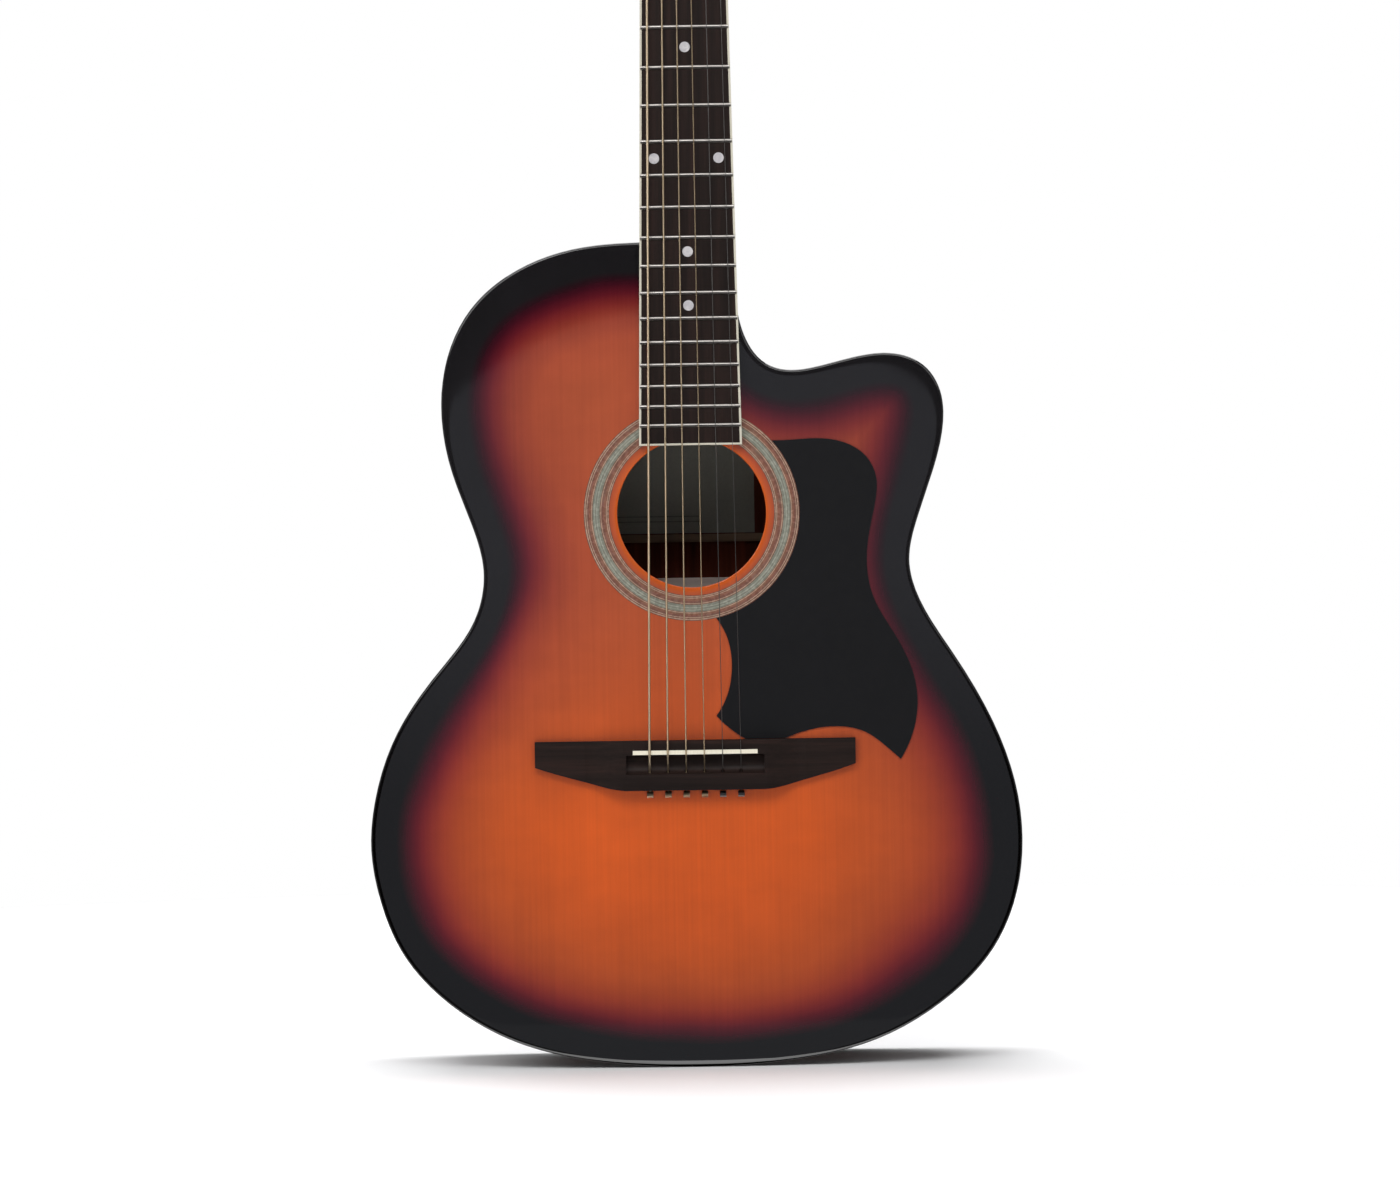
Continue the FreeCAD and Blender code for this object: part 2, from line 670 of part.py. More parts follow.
def mark_spots():
    """Middle points of the position markers on the face."""
    spots = [(0.0, (fret_z(n) + fret_z(n - 1)) / 2) for n in MARKED_FRETS]
    middle = (fret_z(DOUBLE_MARK) + fret_z(DOUBLE_MARK - 1)) / 2
    return spots + [(-DOUBLE_MARK_OFFSET, middle), (DOUBLE_MARK_OFFSET, middle)]


def side_mark_heights():
    heights = [z for _, z in mark_spots()[:len(MARKED_FRETS)]]
    middle = mark_spots()[-1][1]
    return heights + [middle - 4, middle + 4]


def disc(name, x, z):
    """Round inlay blank sunk into the face of the fretboard."""
    obj = doc.addObject("Part::Cylinder", name)
    obj.Radius = MARK_RADIUS
    obj.Height = 3.0
    obj.Placement = Placement(Vector(x, BOARD_TOP - 1, z), Rotation(Vector(1, 0, 0), -90))
    return obj


def side_peg(name, z):
    """Small dot let into the bass edge of the binding."""
    obj = doc.addObject("Part::Cylinder", name)
    obj.Radius = SIDE_MARK_RADIUS
    obj.Height = SIDE_MARK_DEPTH
    narrowing = (size("board_end_width") - size("nut_width")) / 2
    lean = degrees(atan2(narrowing, NUT_LINE - size("board_end")))
    turn = Rotation(Vector(0, 1, 0), 90 + lean)
    obj.Placement = Placement(Vector(-half_board(z), FRONT - 2.6, z), turn)
    return obj


def board_blank(name, inset, end_inset):
    """Tapered fretboard slab with its edges moved in."""
    end = size("board_end") + end_inset
    corners = [(-half_board(end) + inset, end), (half_board(end) - inset, end),
               (half_board(NUT_LINE) - inset, NUT_LINE), (-half_board(NUT_LINE) + inset, NUT_LINE)]
    return plate(name, polygon(corners), BOARD_FRONT_FACE, "Sizes.board_thickness")


def fret_slot(number):
    z = fret_z(number)
    half = half_board(z) - size("binding_width")
    return box(f"slot_{number}", (-half, BOARD_TOP - 1, z - SLOT_WIDTH / 2),
               (half, BOARD_TOP + SLOT_DEPTH, z + SLOT_WIDTH / 2))


def make_fretboard():
    blank = board_blank("fretboard_blank", size("binding_width"), END_BINDING)
    shaped = crowned("fretboard", blank, BOARD_AXIS, size("board_end"), NUT_LINE)
    slots = [fret_slot(n) for n in range(1, int(size("fret_count")) + 1)]
    pockets = [disc(f"pocket_{i}", x, z) for i, (x, z) in enumerate(mark_spots())]
    keep(boolean("Cut", "fretboard_cut", shaped, slots + pockets), "fretboard")


def make_fretboard_binding():
    outer = board_blank("binding_outer", 0, 0)
    inner = board_blank("binding_inner", size("binding_width"), END_BINDING)
    ring = boolean("Cut", "binding_ring", outer, inner)
    shaped = crowned("binding", ring, BOARD_AXIS, size("board_end"), NUT_LINE)
    pegs = [side_peg(f"peg_hole_{i}", z) for i, z in enumerate(side_mark_heights())]
    keep(boolean("Cut", "binding_cut", shaped, pegs), "fretboard_binding")


def make_position_markers():
    dots = [crowned(f"dot_{i}", disc(f"dot_blank_{i}", x, z), BOARD_AXIS, z - 5, z + 5)
            for i, (x, z) in enumerate(mark_spots())]
    pegs = [side_peg(f"peg_{i}", z) for i, z in enumerate(side_mark_heights())]
    group = doc.addObject("Part::Compound", "markers")
    group.Links = dots + pegs
    keep(group, "position_markers")


def fret(number):
    """Fret wire bent to the crown of the board: a low round bead on a thin tang."""
    z = fret_z(number)
    half_angle = degrees(asin((half_board(z) - 0.5) / size("board_radius")))
    tang_angle = degrees(asin((half_board(z) - size("binding_width") - 0.1) / size("board_radius")))
    half, tall = size("fret_width") / 2, size("fret_crown")
    low, high = Vector(0, BOARD_TOP, z - half), Vector(0, BOARD_TOP, z + half)
    arc = Part.Arc(low, Vector(0, BOARD_TOP - tall, z), high).toShape()
    bead = Part.Wire([arc, Part.makeLine(high, low)])
    start, floor = BOARD_TOP - 0.2, BOARD_TOP + TANG_DEPTH
    below, above = z - TANG_WIDTH / 2, z + TANG_WIDTH / 2
    tang = Part.makePolygon([Vector(0, start, below), Vector(0, start, above), Vector(0, floor, above),
                             Vector(0, floor, below), Vector(0, start, below)])
    solids = []
    for wire, angle in ((bead, half_angle), (tang, tang_angle)):
        face = Part.Face(wire)
        face.rotate(Vector(0, BOARD_AXIS, 0), Vector(0, 0, 1), -angle)
        solids.append(face.revolve(Vector(0, BOARD_AXIS, 0), Vector(0, 0, 1), 2 * angle))
    return solids[0].fuse(solids[1])


def make_frets():
    wires = [fret(n) for n in range(1, int(size("fret_count")) + 1)]
    keep(feature("fret_wires", compound(wires)), "frets")


# ---------------------------------------------------------------- neck

NUT_RISE = 1.45
ROD_START = 480.0
ROD_Y = FRONT + 8.0
ROD_RADIUS = 2.2
ROD_CHANNEL = ((-3.0, FRONT - 1, ROD_START - 2), (3.0, ROD_Y + 3.0, NUT_BACK + 2))
HEX_NUT = (NUT_BACK + 4.0, NUT_BACK + 16.0)
HEX_RADIUS = 3.6
POCKET_HALF = 5.0
POCKET_END = NUT_BACK + 20.0
SECTION_STEPS = 12


def d_section(spots):
    """Closed wire of a smooth curve through the spots and the straight line between its ends."""
    curve = Part.BSplineCurve()
    curve.interpolate(spots)
    return Part.Wire([curve.toShape(), Part.makeLine(curve.EndPoint, curve.StartPoint)])


def half_turn():
    return [pi * i / SECTION_STEPS for i in range(SECTION_STEPS + 1)]


def neck_section(z, half, depth):
    """Flat-topped round section of the neck shaft in the plane Z = z."""
    return d_section([Vector(half * cos(a), FRONT + depth * sin(a) ** 0.85, z) for a in half_turn()])


def heel_section(y, half, reach):
    """Section of the heel in the plane Y = y, flat against the body."""
    return d_section([Vector(half * cos(a), y, LENGTH + reach * sin(a)) for a in half_turn()])


def headstock_outline():
    """Generic three-a-side headstock outline in its own plane."""
    top = size("headstock_length")
    right = [(21.6, -4), (23, 4), (29, 16), (34, 27), (36, 42), (35.2, 90), (36, 140), (38, top - 14)]
    left = [(-x, z) for x, z in reversed(right)]
    crest = [(38, top - 14), (30, top - 6), (15, top - 2), (0, top),
             (-15, top - 2), (-30, top - 6), (-38, top - 14)]
    return [spline(right), spline(crest), spline(left), segment(left[-1], right[0])]


def post_spots():
    """Post axis of each tuner in the headstock plane, keyed by string number."""
    spots = {}
    for number in STRING_DIAMETERS:
        rank = number - 1 if number <= 3 else 6 - number
        side = 1 if number <= 3 else -1
        spots[number] = (side * size("post_offset"), size("first_post") + rank * size("post_spacing"))
    return spots


def headstock_plate(name, outline, front, thickness):
    """Plate lying on the tilted headstock, its front face at a depth from the headstock's own front."""
    slab = plate(name, outline, "0 mm", thickness)
    slab.setExpression("Placement.Base.y", None)
    slab.Placement = HEADSTOCK.multiply(Placement(Vector(0, front, 0), Rotation()))
    return slab


def headstock_cylinder(name, radius, x, z, front, back):
    """Round cutter square to the headstock face."""
    obj = doc.addObject("Part::Cylinder", name)
    obj.Radius = radius
    obj.Height = back - front
    local = Placement(Vector(x, front, z), Rotation(Vector(1, 0, 0), -90))
    obj.Placement = HEADSTOCK.multiply(local)
    return obj


FERRULE_RADIUS = 4.5
FERRULE_DEPTH = 6.0
POST_HOLE = 3.6
SCREW_PILOT = 0.9
SCREW_REACH = 6.0
PILOT_DEPTH = 8.0
PLATE_SCREWS = ((0.0, -9.0), (-5.0, 15.0), (5.0, 15.0))
COVER_SCREWS = ((0.0, 27.0), (-7.5, 6.0), (7.5, 6.0))


HEEL_STEPS = ((FRONT + 0.5, 26.6, 52), (FRONT + 16, 25.0, 44), (-12, 19.5, 25), (16, 15.5, 17),
              (BACK - 1, 13.5, 14))


def neck_cutters():
    """Everything cut out of the neck: nut seat, truss rod channel and pocket, tuner and screw holes."""
    seat = box("nut_seat", (-30, FRONT - 12, NUT_LINE - 1), (30, FRONT, NUT_BACK))
    rod_channel = box("rod_channel", *ROD_CHANNEL)
    pocket = box("rod_pocket", (-POCKET_HALF, FRONT - 4, NUT_BACK + 2),
                 (POCKET_HALF, ROD_Y + 4.5, POCKET_END))
    cutters = [seat, rod_channel, pocket]
    back = size("headstock_thickness")
    for number, (x, z) in post_spots().items():
        cutters.append(headstock_cylinder(f"post_hole_{number}", POST_HOLE, x, z, -1, back + 1))
        cutters.append(headstock_cylinder(f"ferrule_hole_{number}", FERRULE_RADIUS, x, z, -1, FERRULE_DEPTH))
        for i, (dx, dz) in enumerate(PLATE_SCREWS):
            name = f"plate_pilot_{number}_{i}"
            spot = (x + dx, z + dz)
            cutters.append(headstock_cylinder(name, SCREW_PILOT, *spot, back - PILOT_DEPTH, back + 1))
    for i, (x, z) in enumerate(COVER_SCREWS):
        cutters.append(headstock_cylinder(f"cover_pilot_{i}", SCREW_PILOT, x, z, -1, PILOT_DEPTH))
    return cutters


def make_neck():
    """Shaft, heel with tenon and tilted headstock in one piece of wood."""
    low = neck_section(LENGTH, half_board(LENGTH), size("neck_depth_heel"))
    high = neck_section(NUT_BACK + 2, size("nut_width") / 2, size("neck_depth_nut"))
    shaft = Part.makeLoft([low, high], True, True)
    heel = Part.makeLoft([heel_section(*step) for step in HEEL_STEPS], True, False)
    wood = feature("neck_shaft", shaft.fuse(heel))
    tenon = box("tenon", *TENON)
    slab = headstock_plate("headstock_slab", headstock_outline(), 0, "Sizes.headstock_thickness")
    whole = doc.addObject("Part::MultiFuse", "neck_blank")
    whole.Shapes = [wood, tenon, slab]
    keep(boolean("Cut", "neck_cut", whole, neck_cutters()), "neck")


def make_nut():
    """String nut with six slots, crowned like the fretboard."""
    half = size("nut_width") / 2
    strip = box("nut_strip", (-half, BOARD_TOP - 4, NUT_LINE), (half, FRONT, NUT_BACK))
    axis = BOARD_AXIS - NUT_RISE - 1.0
    shaped = crowned("nut", strip, axis, NUT_LINE, NUT_BACK)
    slots = []
    for number, diameter in STRING_DIAMETERS.items():
        x = string_x(number, size("string_spread_nut"))
        y = string_y(BOARD_AXIS - NUT_RISE, x, number)
        radius = diameter / 2 + CLEAR
        slot = Part.makeBox(2 * radius, 5, 12, Vector(x - radius, y - 5, NUT_LINE - 3))
        floor = Part.makeCylinder(radius, 12, Vector(x, y, NUT_LINE - 3))
        slots.append(feature(f"nut_slot_{number}", slot.fuse(floor)))
    keep(boolean("Cut", "nut_cut", shaped, slots), "nut")


def make_truss_rod():
    """Straight rod in the neck and the six-sided nut that turns on its end."""
    start, end = HEX_NUT
    rod = doc.addObject("Part::Cylinder", "truss_rod_bar")
    rod.Radius = ROD_RADIUS
    rod.Height = end - 1 - ROD_START
    rod.Placement.Base = Vector(0, ROD_Y, ROD_START)
    keep(rod, "truss_rod")
    hexagon = doc.addObject("Part::Prism", "hex_blank")
    hexagon.Polygon = 6
    hexagon.Circumradius = HEX_RADIUS
    hexagon.Height = end - start
    hexagon.Placement.Base = Vector(0, ROD_Y, start)
    bore = doc.addObject("Part::Cylinder", "hex_bore")
    bind(bore, Radius=f"{ROD_RADIUS} + Sizes.running_clearance")
    bore.Height = end - start + 2
    bore.Placement.Base = Vector(0, ROD_Y, start - 1)
    keep(boolean("Cut", "hex_nut", hexagon, bore), "truss_rod_nut")


COVER_THICKNESS = 1.6


def make_truss_rod_cover():
    """Bell-shaped cover plate on the headstock face, with its three screws."""
    right = [(10.5, 2.8), (10.5, 9.0), (8.5, 16.0), (5.5, 23.0), (3.8, 28.0), (0, 31.0)]
    left = [(-x, z) for x, z in reversed(right)]
    outline = [spline(right), spline(left), segment(left[-1], right[0])]
    blank = headstock_plate("cover_blank", outline, -COVER_THICKNESS, f"{COVER_THICKNESS} mm")
    holes = [headstock_cylinder(f"cover_hole_{i}", SCREW_PILOT, x, z, -COVER_THICKNESS - 1, 1)
             for i, (x, z) in enumerate(COVER_SCREWS)]
    keep(boolean("Cut", "cover_cut", blank, holes), "truss_rod_cover")
    screws = [small_screw(x, -COVER_THICKNESS, z, -1) for x, z in COVER_SCREWS]
    keep(feature("cover_screw_group", compound(screws), HEADSTOCK), "cover_screws")


def small_screw(x, seat, z, out):
    """Round-headed wood screw along Y; out is the way its head stands off the seat."""
    radius = SCREW_PILOT - 0.02
    profile = [Vector(0, out * 0.9, 0), Vector(1.0, out * 0.77, 0), Vector(1.7, out * 0.25, 0),
               Vector(1.8, 0, 0), Vector(radius, 0, 0), Vector(radius, -out * SCREW_REACH, 0),
               Vector(0, -out * (SCREW_REACH + 1), 0)]
    screw = lathe(profile, Vector(0, 0, 0), Vector(0, 1, 0))
    screw.translate(Vector(x, seat, z))
    return screw


# ---------------------------------------------------------------- tuning machines

THICK = size("headstock_thickness")
PLATE_BACK = THICK + 1.2
GEAR_FRONT = PLATE_BACK + 3.2
GEAR_BACK = GEAR_FRONT + 3.6
WORM_Y = (GEAR_FRONT + GEAR_BACK) / 2
WORM_Z = size("gear_pitch_radius") + size("worm_pitch_radius")
LEAD = 2 * pi * size("gear_pitch_radius") / size("gear_teeth")
EAR_INNER = 6.2
EAR_OUTER = 7.7
SHAFT = size("worm_shaft_radius")
SHAFT_START = -8.6
SHAFT_END = 22.0
POST_TOP = -13.0
WIND_FRONT = -5.4
PLATE_HALF = 8.0
PLATE_LOW = -12.0
PLATE_LENGTH = 29.0
EAR_RADIUS = 4.0
WORM_ROOT = 2.6
WORM_CREST = 4.0
THREAD_HALF = 4.48
GEAR_ROOT = 4.2
GEAR_TIP = 5.6
SQUARE = 3.6


def tuner_plate():
    """Base plate with two ears that carry the worm shaft."""
    metal = PLATE_BACK - THICK
    base = Part.makeBox(2 * PLATE_HALF, metal, PLATE_LENGTH, Vector(-PLATE_HALF, THICK, PLATE_LOW))
    uprights = [e for e in base.Edges if e.BoundBox.YLength > 1 and e.BoundBox.XLength < 0.001]
    base = base.makeFillet(3.0, uprights)
    wide = EAR_OUTER - EAR_INNER
    for x in (-EAR_OUTER, EAR_INNER):
        ear = Part.makeBox(wide, WORM_Y - THICK, 2 * EAR_RADIUS, Vector(x, THICK, WORM_Z - EAR_RADIUS))
        eye = Part.makeCylinder(EAR_RADIUS, wide, Vector(x, WORM_Y, WORM_Z), Vector(1, 0, 0))
        base = base.fuse(ear.fuse(eye))
    shaft_hole = Part.makeCylinder(SHAFT + CLEAR, 40, Vector(-20, WORM_Y, WORM_Z), Vector(1, 0, 0))
    post_radius = size("post_radius") + CLEAR
    post_hole = Part.makeCylinder(post_radius, 10, Vector(0, THICK - 5, 0), Vector(0, 1, 0))
    base = base.cut(shaft_hole).cut(post_hole)
    for dx, dz in PLATE_SCREWS:
        base = base.cut(Part.makeCylinder(SCREW_PILOT, 5, Vector(dx, THICK - 2, dz), Vector(0, 1, 0)))
    return base.removeSplitter()


def worm():
    """Worm with a right-hand thread on a shaft along +X, centred on the gear."""
    core_half = EAR_INNER - 0.2
    core = Part.makeCylinder(WORM_ROOT, 2 * core_half, Vector(-core_half, 0, 0), Vector(1, 0, 0))
    shaft = Part.makeCylinder(SHAFT, SHAFT_END - SHAFT_START, Vector(SHAFT_START, 0, 0), Vector(1, 0, 0))
    helix = Part.makeHelix(LEAD, 2 * THREAD_HALF, WORM_ROOT)
    foot = WORM_ROOT - 0.15
    section = Part.makePolygon([Vector(foot, 0, -0.48), Vector(WORM_CREST, 0, -0.25),
                                Vector(WORM_CREST, 0, 0.25), Vector(foot, 0, 0.48), Vector(foot, 0, -0.48)])
    thread = Part.Wire(helix.Edges).makePipeShell([section], True, True)
    thread.translate(Vector(0, 0, -THREAD_HALF))
    thread.rotate(Vector(0, 0, 0), Vector(0, 1, 0), 90)
    return core.fuse(shaft).fuse(thread)


def gear():
    """Fourteen-tooth wheel about Y with a tooth towards the worm."""
    count = int(size("gear_teeth"))
    wide = GEAR_BACK - GEAR_FRONT
    wheel = Part.makeCylinder(GEAR_ROOT, wide, Vector(0, GEAR_FRONT, 0), Vector(0, 1, 0))
    foot = GEAR_ROOT - 0.2
    tooth_outline = Part.makePolygon([Vector(-0.52, GEAR_FRONT, foot), Vector(-0.3, GEAR_FRONT, GEAR_TIP),
                                      Vector(0.3, GEAR_FRONT, GEAR_TIP), Vector(0.52, GEAR_FRONT, foot),
                                      Vector(-0.52, GEAR_FRONT, foot)])
    tooth = Part.Face(tooth_outline).extrude(Vector(0, wide, 0))
    teeth = []
    for i in range(count):
        copy = tooth.copy()
        copy.rotate(Vector(0, 0, 0), Vector(0, 1, 0), 360 * i / count)
        teeth.append(copy)
    wheel = wheel.multiFuse(teeth)
    return wheel.cut(square_bar(GEAR_FRONT - 3, 10)).removeSplitter()


def square_bar(front, length):
    """Square drive on the post's axis."""
    return Part.makeBox(SQUARE, length, SQUARE, Vector(-SQUARE / 2, front, -SQUARE / 2))


def post():
    """String post: waisted where the string winds, squared where the gear sits."""
    radius, waist = size("post_radius"), size("post_waist")
    shoulder = GEAR_FRONT - 0.1
    outline = [Vector(0, POST_TOP, 0), Vector(radius - 0.8, POST_TOP, 0), Vector(radius, POST_TOP + 0.8, 0),
               Vector(radius, -10.6, 0), Vector(waist, -9.8, 0), Vector(waist, WIND_FRONT + 0.6, 0),
               Vector(radius, WIND_FRONT + 1.4, 0), Vector(radius, shoulder, 0), Vector(0, shoulder, 0)]
    shaft = lathe(outline, Vector(0, 0, 0), Vector(0, 1, 0))
    eye = Part.makeCylinder(0.9, 12, Vector(-6, -11.6, 0), Vector(1, 0, 0))
    return shaft.fuse(square_bar(shoulder, GEAR_BACK - shoulder)).cut(eye)


def gear_screw():
    profile = [Vector(0, GEAR_BACK, 0), Vector(2.9, GEAR_BACK, 0), Vector(2.9, GEAR_BACK + 0.7, 0),
               Vector(2.2, GEAR_BACK + 1.3, 0), Vector(0, GEAR_BACK + 1.5, 0)]
    return lathe(profile, Vector(0, 0, 0), Vector(0, 1, 0))


def button():
    """Oval button on the outer end of the worm shaft."""
    inner, long_half, wide_half, thick = 14.5, 7.5, 9.5, 7.0
    ellipse = Part.Ellipse(Vector(0, 0, 0), wide_half, long_half).toShape()
    body = Part.Face(Part.Wire([ellipse])).extrude(Vector(0, 0, thick))
    body = body.makeFillet(2.6, body.Edges)
    body.translate(Vector(0, 0, -thick / 2))
    body.rotate(Vector(0, 0, 0), Vector(0, 0, 1), 90)
    body.rotate(Vector(0, 0, 0), Vector(1, 0, 0), 90)
    body.translate(Vector(inner + long_half, 0, 0))
    neck = Part.makeCylinder(3.0, 4, Vector(inner - 1.5, 0, 0), Vector(1, 0, 0))
    shaft = Part.makeCylinder(SHAFT, SHAFT_END, Vector(0, 0, 0), Vector(1, 0, 0))
    return body.fuse(neck).cut(shaft).removeSplitter()


def make_tuners():
    """Six tuning machines: plate, worm, button and post, plus ferrules and plate screws."""
    plate_shape, worm_shape, gear_shape = tuner_plate(), worm(), gear()
    post_shape, cap_shape, button_shape = post(), gear_screw(), button()
    ferrules, screws = [], []
    for number, (x, z) in post_spots().items():
        place = HEADSTOCK.multiply(Placement(Vector(x, 0, z), Rotation()))
        outward = Rotation(Vector(1, 0, 0) if x > 0 else Vector(0, 1, 0), 180)
        spin = place.multiply(Placement(Vector(0, WORM_Y, WORM_Z), outward))
        prefix = f"tuner_{number}_"
        keep(feature(prefix + "plate_metal", plate_shape, place), prefix + "plate")
        keep(feature(prefix + "worm_metal", worm_shape, spin), prefix + "worm")
        keep(feature(prefix + "button_oval", button_shape, spin), prefix + "button")
        train = compound([post_shape, gear_shape, cap_shape])
        keep(feature(prefix + "post_train", train, place), prefix + "post")
        ferrules.append(ferrule(x, z))
        screws += [small_screw(x + dx, PLATE_BACK, z + dz, 1) for dx, dz in PLATE_SCREWS]
    keep(feature("ferrule_group", compound(ferrules), HEADSTOCK), "tuner_ferrules")
    keep(feature("plate_screw_group", compound(screws), HEADSTOCK), "tuner_plate_screws")


def ferrule(x, z):
    """Press-in bushing with a rounded flange that guides the post at the face."""
    bore = size("post_radius") + CLEAR
    profile = [Vector(bore, -1.2, 0), Vector(4.9, -1.2, 0), Vector(5.6, -0.5, 0), Vector(5.6, 0, 0),
               Vector(FERRULE_RADIUS, 0, 0), Vector(FERRULE_RADIUS, FERRULE_DEPTH, 0),
               Vector(bore, FERRULE_DEPTH, 0)]
    ring = lathe(profile, Vector(0, 0, 0), Vector(0, 1, 0))
    ring.translate(Vector(x, 0, z))
    return ring


# ---------------------------------------------------------------- strings

WINDINGS = 2
COIL_GAP = 0.05
BEND_RADIUS = 3.0
LEAD_IN = 6.0
BALL_RADIUS = 1.9
BALL_LENGTH = 3.6


def rounded_path(points, radius):
    """Straight runs joined by tangent arcs."""
    edges = []
    last = points[0]
    for before, corner, after in zip(points, points[1:], points[2:]):
        into = (corner - before).normalize()
        out = (after - corner).normalize()
        turn = into.getAngle(out)
        reach = radius * tan(turn / 2)
        start, end = corner - into * reach, corner + out * reach
        bisector = (out - into).normalize()
        middle = corner + bisector * (radius / cos(turn / 2) - radius)
        edges.append(Part.makeLine(last, start))
        edges.append(Part.Arc(start, middle, end).toShape())
        last = end
    edges.append(Part.makeLine(last, points[-1]))
    return Part.Wire(edges)


def tube(path, start, direction, radius):
    """Round section swept along a path."""
    section = Part.Wire([Part.makeCircle(radius, start, direction)])
    return path.makePipeShell([section], True, False)


def coil_start(number):
    """Angle round the post at which the string from the nut touches its winding circle."""
    x, z = post_spots()[number]
    nut = HEADSTOCK.inverse().multVec(nut_point(number))
    across, along = abs(x) - abs(nut.x), nut.z - z
    distance = sqrt(across ** 2 + along ** 2)
    return acos(winding_radius(number) / distance) - atan2(-along, across)


def winding_radius(number):
    return size("post_waist") + COIL_GAP + STRING_DIAMETERS[number] / 2


def nut_point(number):
    x = string_x(number, size("string_spread_nut"))
    return Vector(x, string_y(BOARD_AXIS - NUT_RISE, x, number), NUT_BACK - 0.1)


def saddle_point(number):
    x = string_x(number, size("string_spread_saddle"))
    edge = SADDLE_Z - size("saddle_thickness") / 2 + 0.15
    return Vector(x, string_y(SADDLE_AXIS, x, number) - 0.12, edge)


def string_shape(number):
    """String from its ball end through the tie block, over saddle and nut, to its windings on the post."""
    radius = STRING_DIAMETERS[number] / 2
    x, z = post_spots()[number]
    side = 1 if x > 0 else -1
    wind = winding_radius(number)
    pitch = 2 * radius + 0.06
    helix = Part.makeHelix(pitch, WINDINGS * pitch, wind, 0, side > 0)
    slope = Vector(0, -side * 2 * pi * wind, pitch).normalize()
    ring = Part.Wire([Part.makeCircle(radius, Vector(wind, 0, 0), slope)])
    coil = Part.Wire(helix.Edges).makePipeShell([ring], True, True)

    axes = FreeCAD.Matrix(-side, 0, 0, 0, 0, 0, -1, 0, 0, -side, 0, 0, 0, 0, 0, 1)
    turned = Placement(Vector(x, WIND_FRONT - 0.1 - radius, z),
                       Rotation(Vector(0, 1, 0), side * degrees(coil_start(number))))
    seat = HEADSTOCK.multiply(turned).multiply(Placement(axes))
    coil.transformShape(seat.toMatrix())
    touch = seat.multVec(Vector(wind, 0, 0))
    way = seat.Rotation.multVec(slope)

    tail, mouth = string_hole_ends(number)
    stops = [tail, mouth, saddle_point(number), nut_point(number), touch - way * LEAD_IN, touch]
    run = tube(rounded_path(stops, BEND_RADIUS), tail, mouth - tail, radius)
    ball = Part.makeCylinder(BALL_RADIUS, BALL_LENGTH, tail - Vector(BALL_LENGTH / 2, 0, 0), Vector(1, 0, 0))
    return ball.fuse(run).fuse(coil)


def make_strings():
    for number in STRING_DIAMETERS:
        keep(feature(f"string_wire_{number}", string_shape(number)), f"string_{number}")


# ---------------------------------------------------------------- whole guitar

def build():
    make_soundboard()
    make_rosette()
    make_back_plate()
    make_sides()
    make_blocks()
    make_linings()
    make_x_brace()
    make_top_braces()
    make_bridge_plate()
    make_back_braces()
    make_label()
    make_pickguard()
    make_bridge()
    make_saddle()
    make_fretboard()
    make_fretboard_binding()
    make_position_markers()
    make_frets()
    make_neck()
    make_nut()
    make_truss_rod()
    make_truss_rod_cover()
    make_tuners()
    make_strings()
    doc.recompute()


def check():
    """Stop if any object failed to rebuild or any sub-part has no valid solid."""
    failed = [obj.Name for obj in doc.Objects if "Invalid" in obj.State or "Error" in obj.State]
    for label, obj in EXPORTED.items():
        shape = obj.Shape
        if shape.isNull() or not shape.isValid() or not shape.Solids:
            failed.append(label)
    if failed:
        raise RuntimeError("failed objects: " + ", ".join(failed))


def export():
    os.makedirs("parts", exist_ok=True)
    for label, obj in EXPORTED.items():
        obj.Shape.exportStep(f"parts/{label}.step")
    print(len(EXPORTED), "sub-parts written")


build()
check()
export()
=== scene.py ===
"""Looks of a cutaway acoustic guitar: sunburst lacquer, shell rosette, bound rosewood board, wound strings.

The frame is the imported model: metres, +Z up the neck, +X the treble side, the soundboard faces -Y.
"""
import bpy
import bmesh
import numpy as np
from math import cos, pi, radians, sin
from mathutils import Euler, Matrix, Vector
from mathutils.geometry import delaunay_2d_cdt


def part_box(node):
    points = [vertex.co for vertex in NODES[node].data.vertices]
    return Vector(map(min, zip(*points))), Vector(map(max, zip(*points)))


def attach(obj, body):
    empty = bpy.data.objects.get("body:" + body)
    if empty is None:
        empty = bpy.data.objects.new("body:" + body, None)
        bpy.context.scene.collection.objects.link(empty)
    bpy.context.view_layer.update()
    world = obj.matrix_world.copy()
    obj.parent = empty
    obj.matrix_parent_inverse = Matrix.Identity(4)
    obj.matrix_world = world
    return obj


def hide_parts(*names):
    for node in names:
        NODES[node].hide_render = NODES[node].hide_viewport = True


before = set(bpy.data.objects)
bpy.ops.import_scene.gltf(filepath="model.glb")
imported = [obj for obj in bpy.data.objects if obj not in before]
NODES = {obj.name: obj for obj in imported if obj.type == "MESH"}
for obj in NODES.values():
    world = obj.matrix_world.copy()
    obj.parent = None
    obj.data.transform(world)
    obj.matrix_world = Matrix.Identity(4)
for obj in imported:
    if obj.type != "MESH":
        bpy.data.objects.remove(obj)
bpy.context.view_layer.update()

MM = 0.001
TOUCHING = 0.001 * MM
TOP_LOW, TOP_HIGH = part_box("soundboard")
FRONT = TOP_LOW.y
HOLE = (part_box("rosette")[0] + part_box("rosette")[1]) / 2


# ---------------------------------------------------------------- node helpers

NOISE_LOW, NOISE_HIGH = 0.3, 0.7    # nearly all of a noise texture's values lie between these


def srgb(red, green, blue):
    """Linear colour, with alpha, from 0-255 display values."""
    def channel(value):
        value /= 255
        return value / 12.92 if value <= 0.04045 else ((value + 0.055) / 1.055) ** 2.4
    return channel(red), channel(green), channel(blue), 1.0


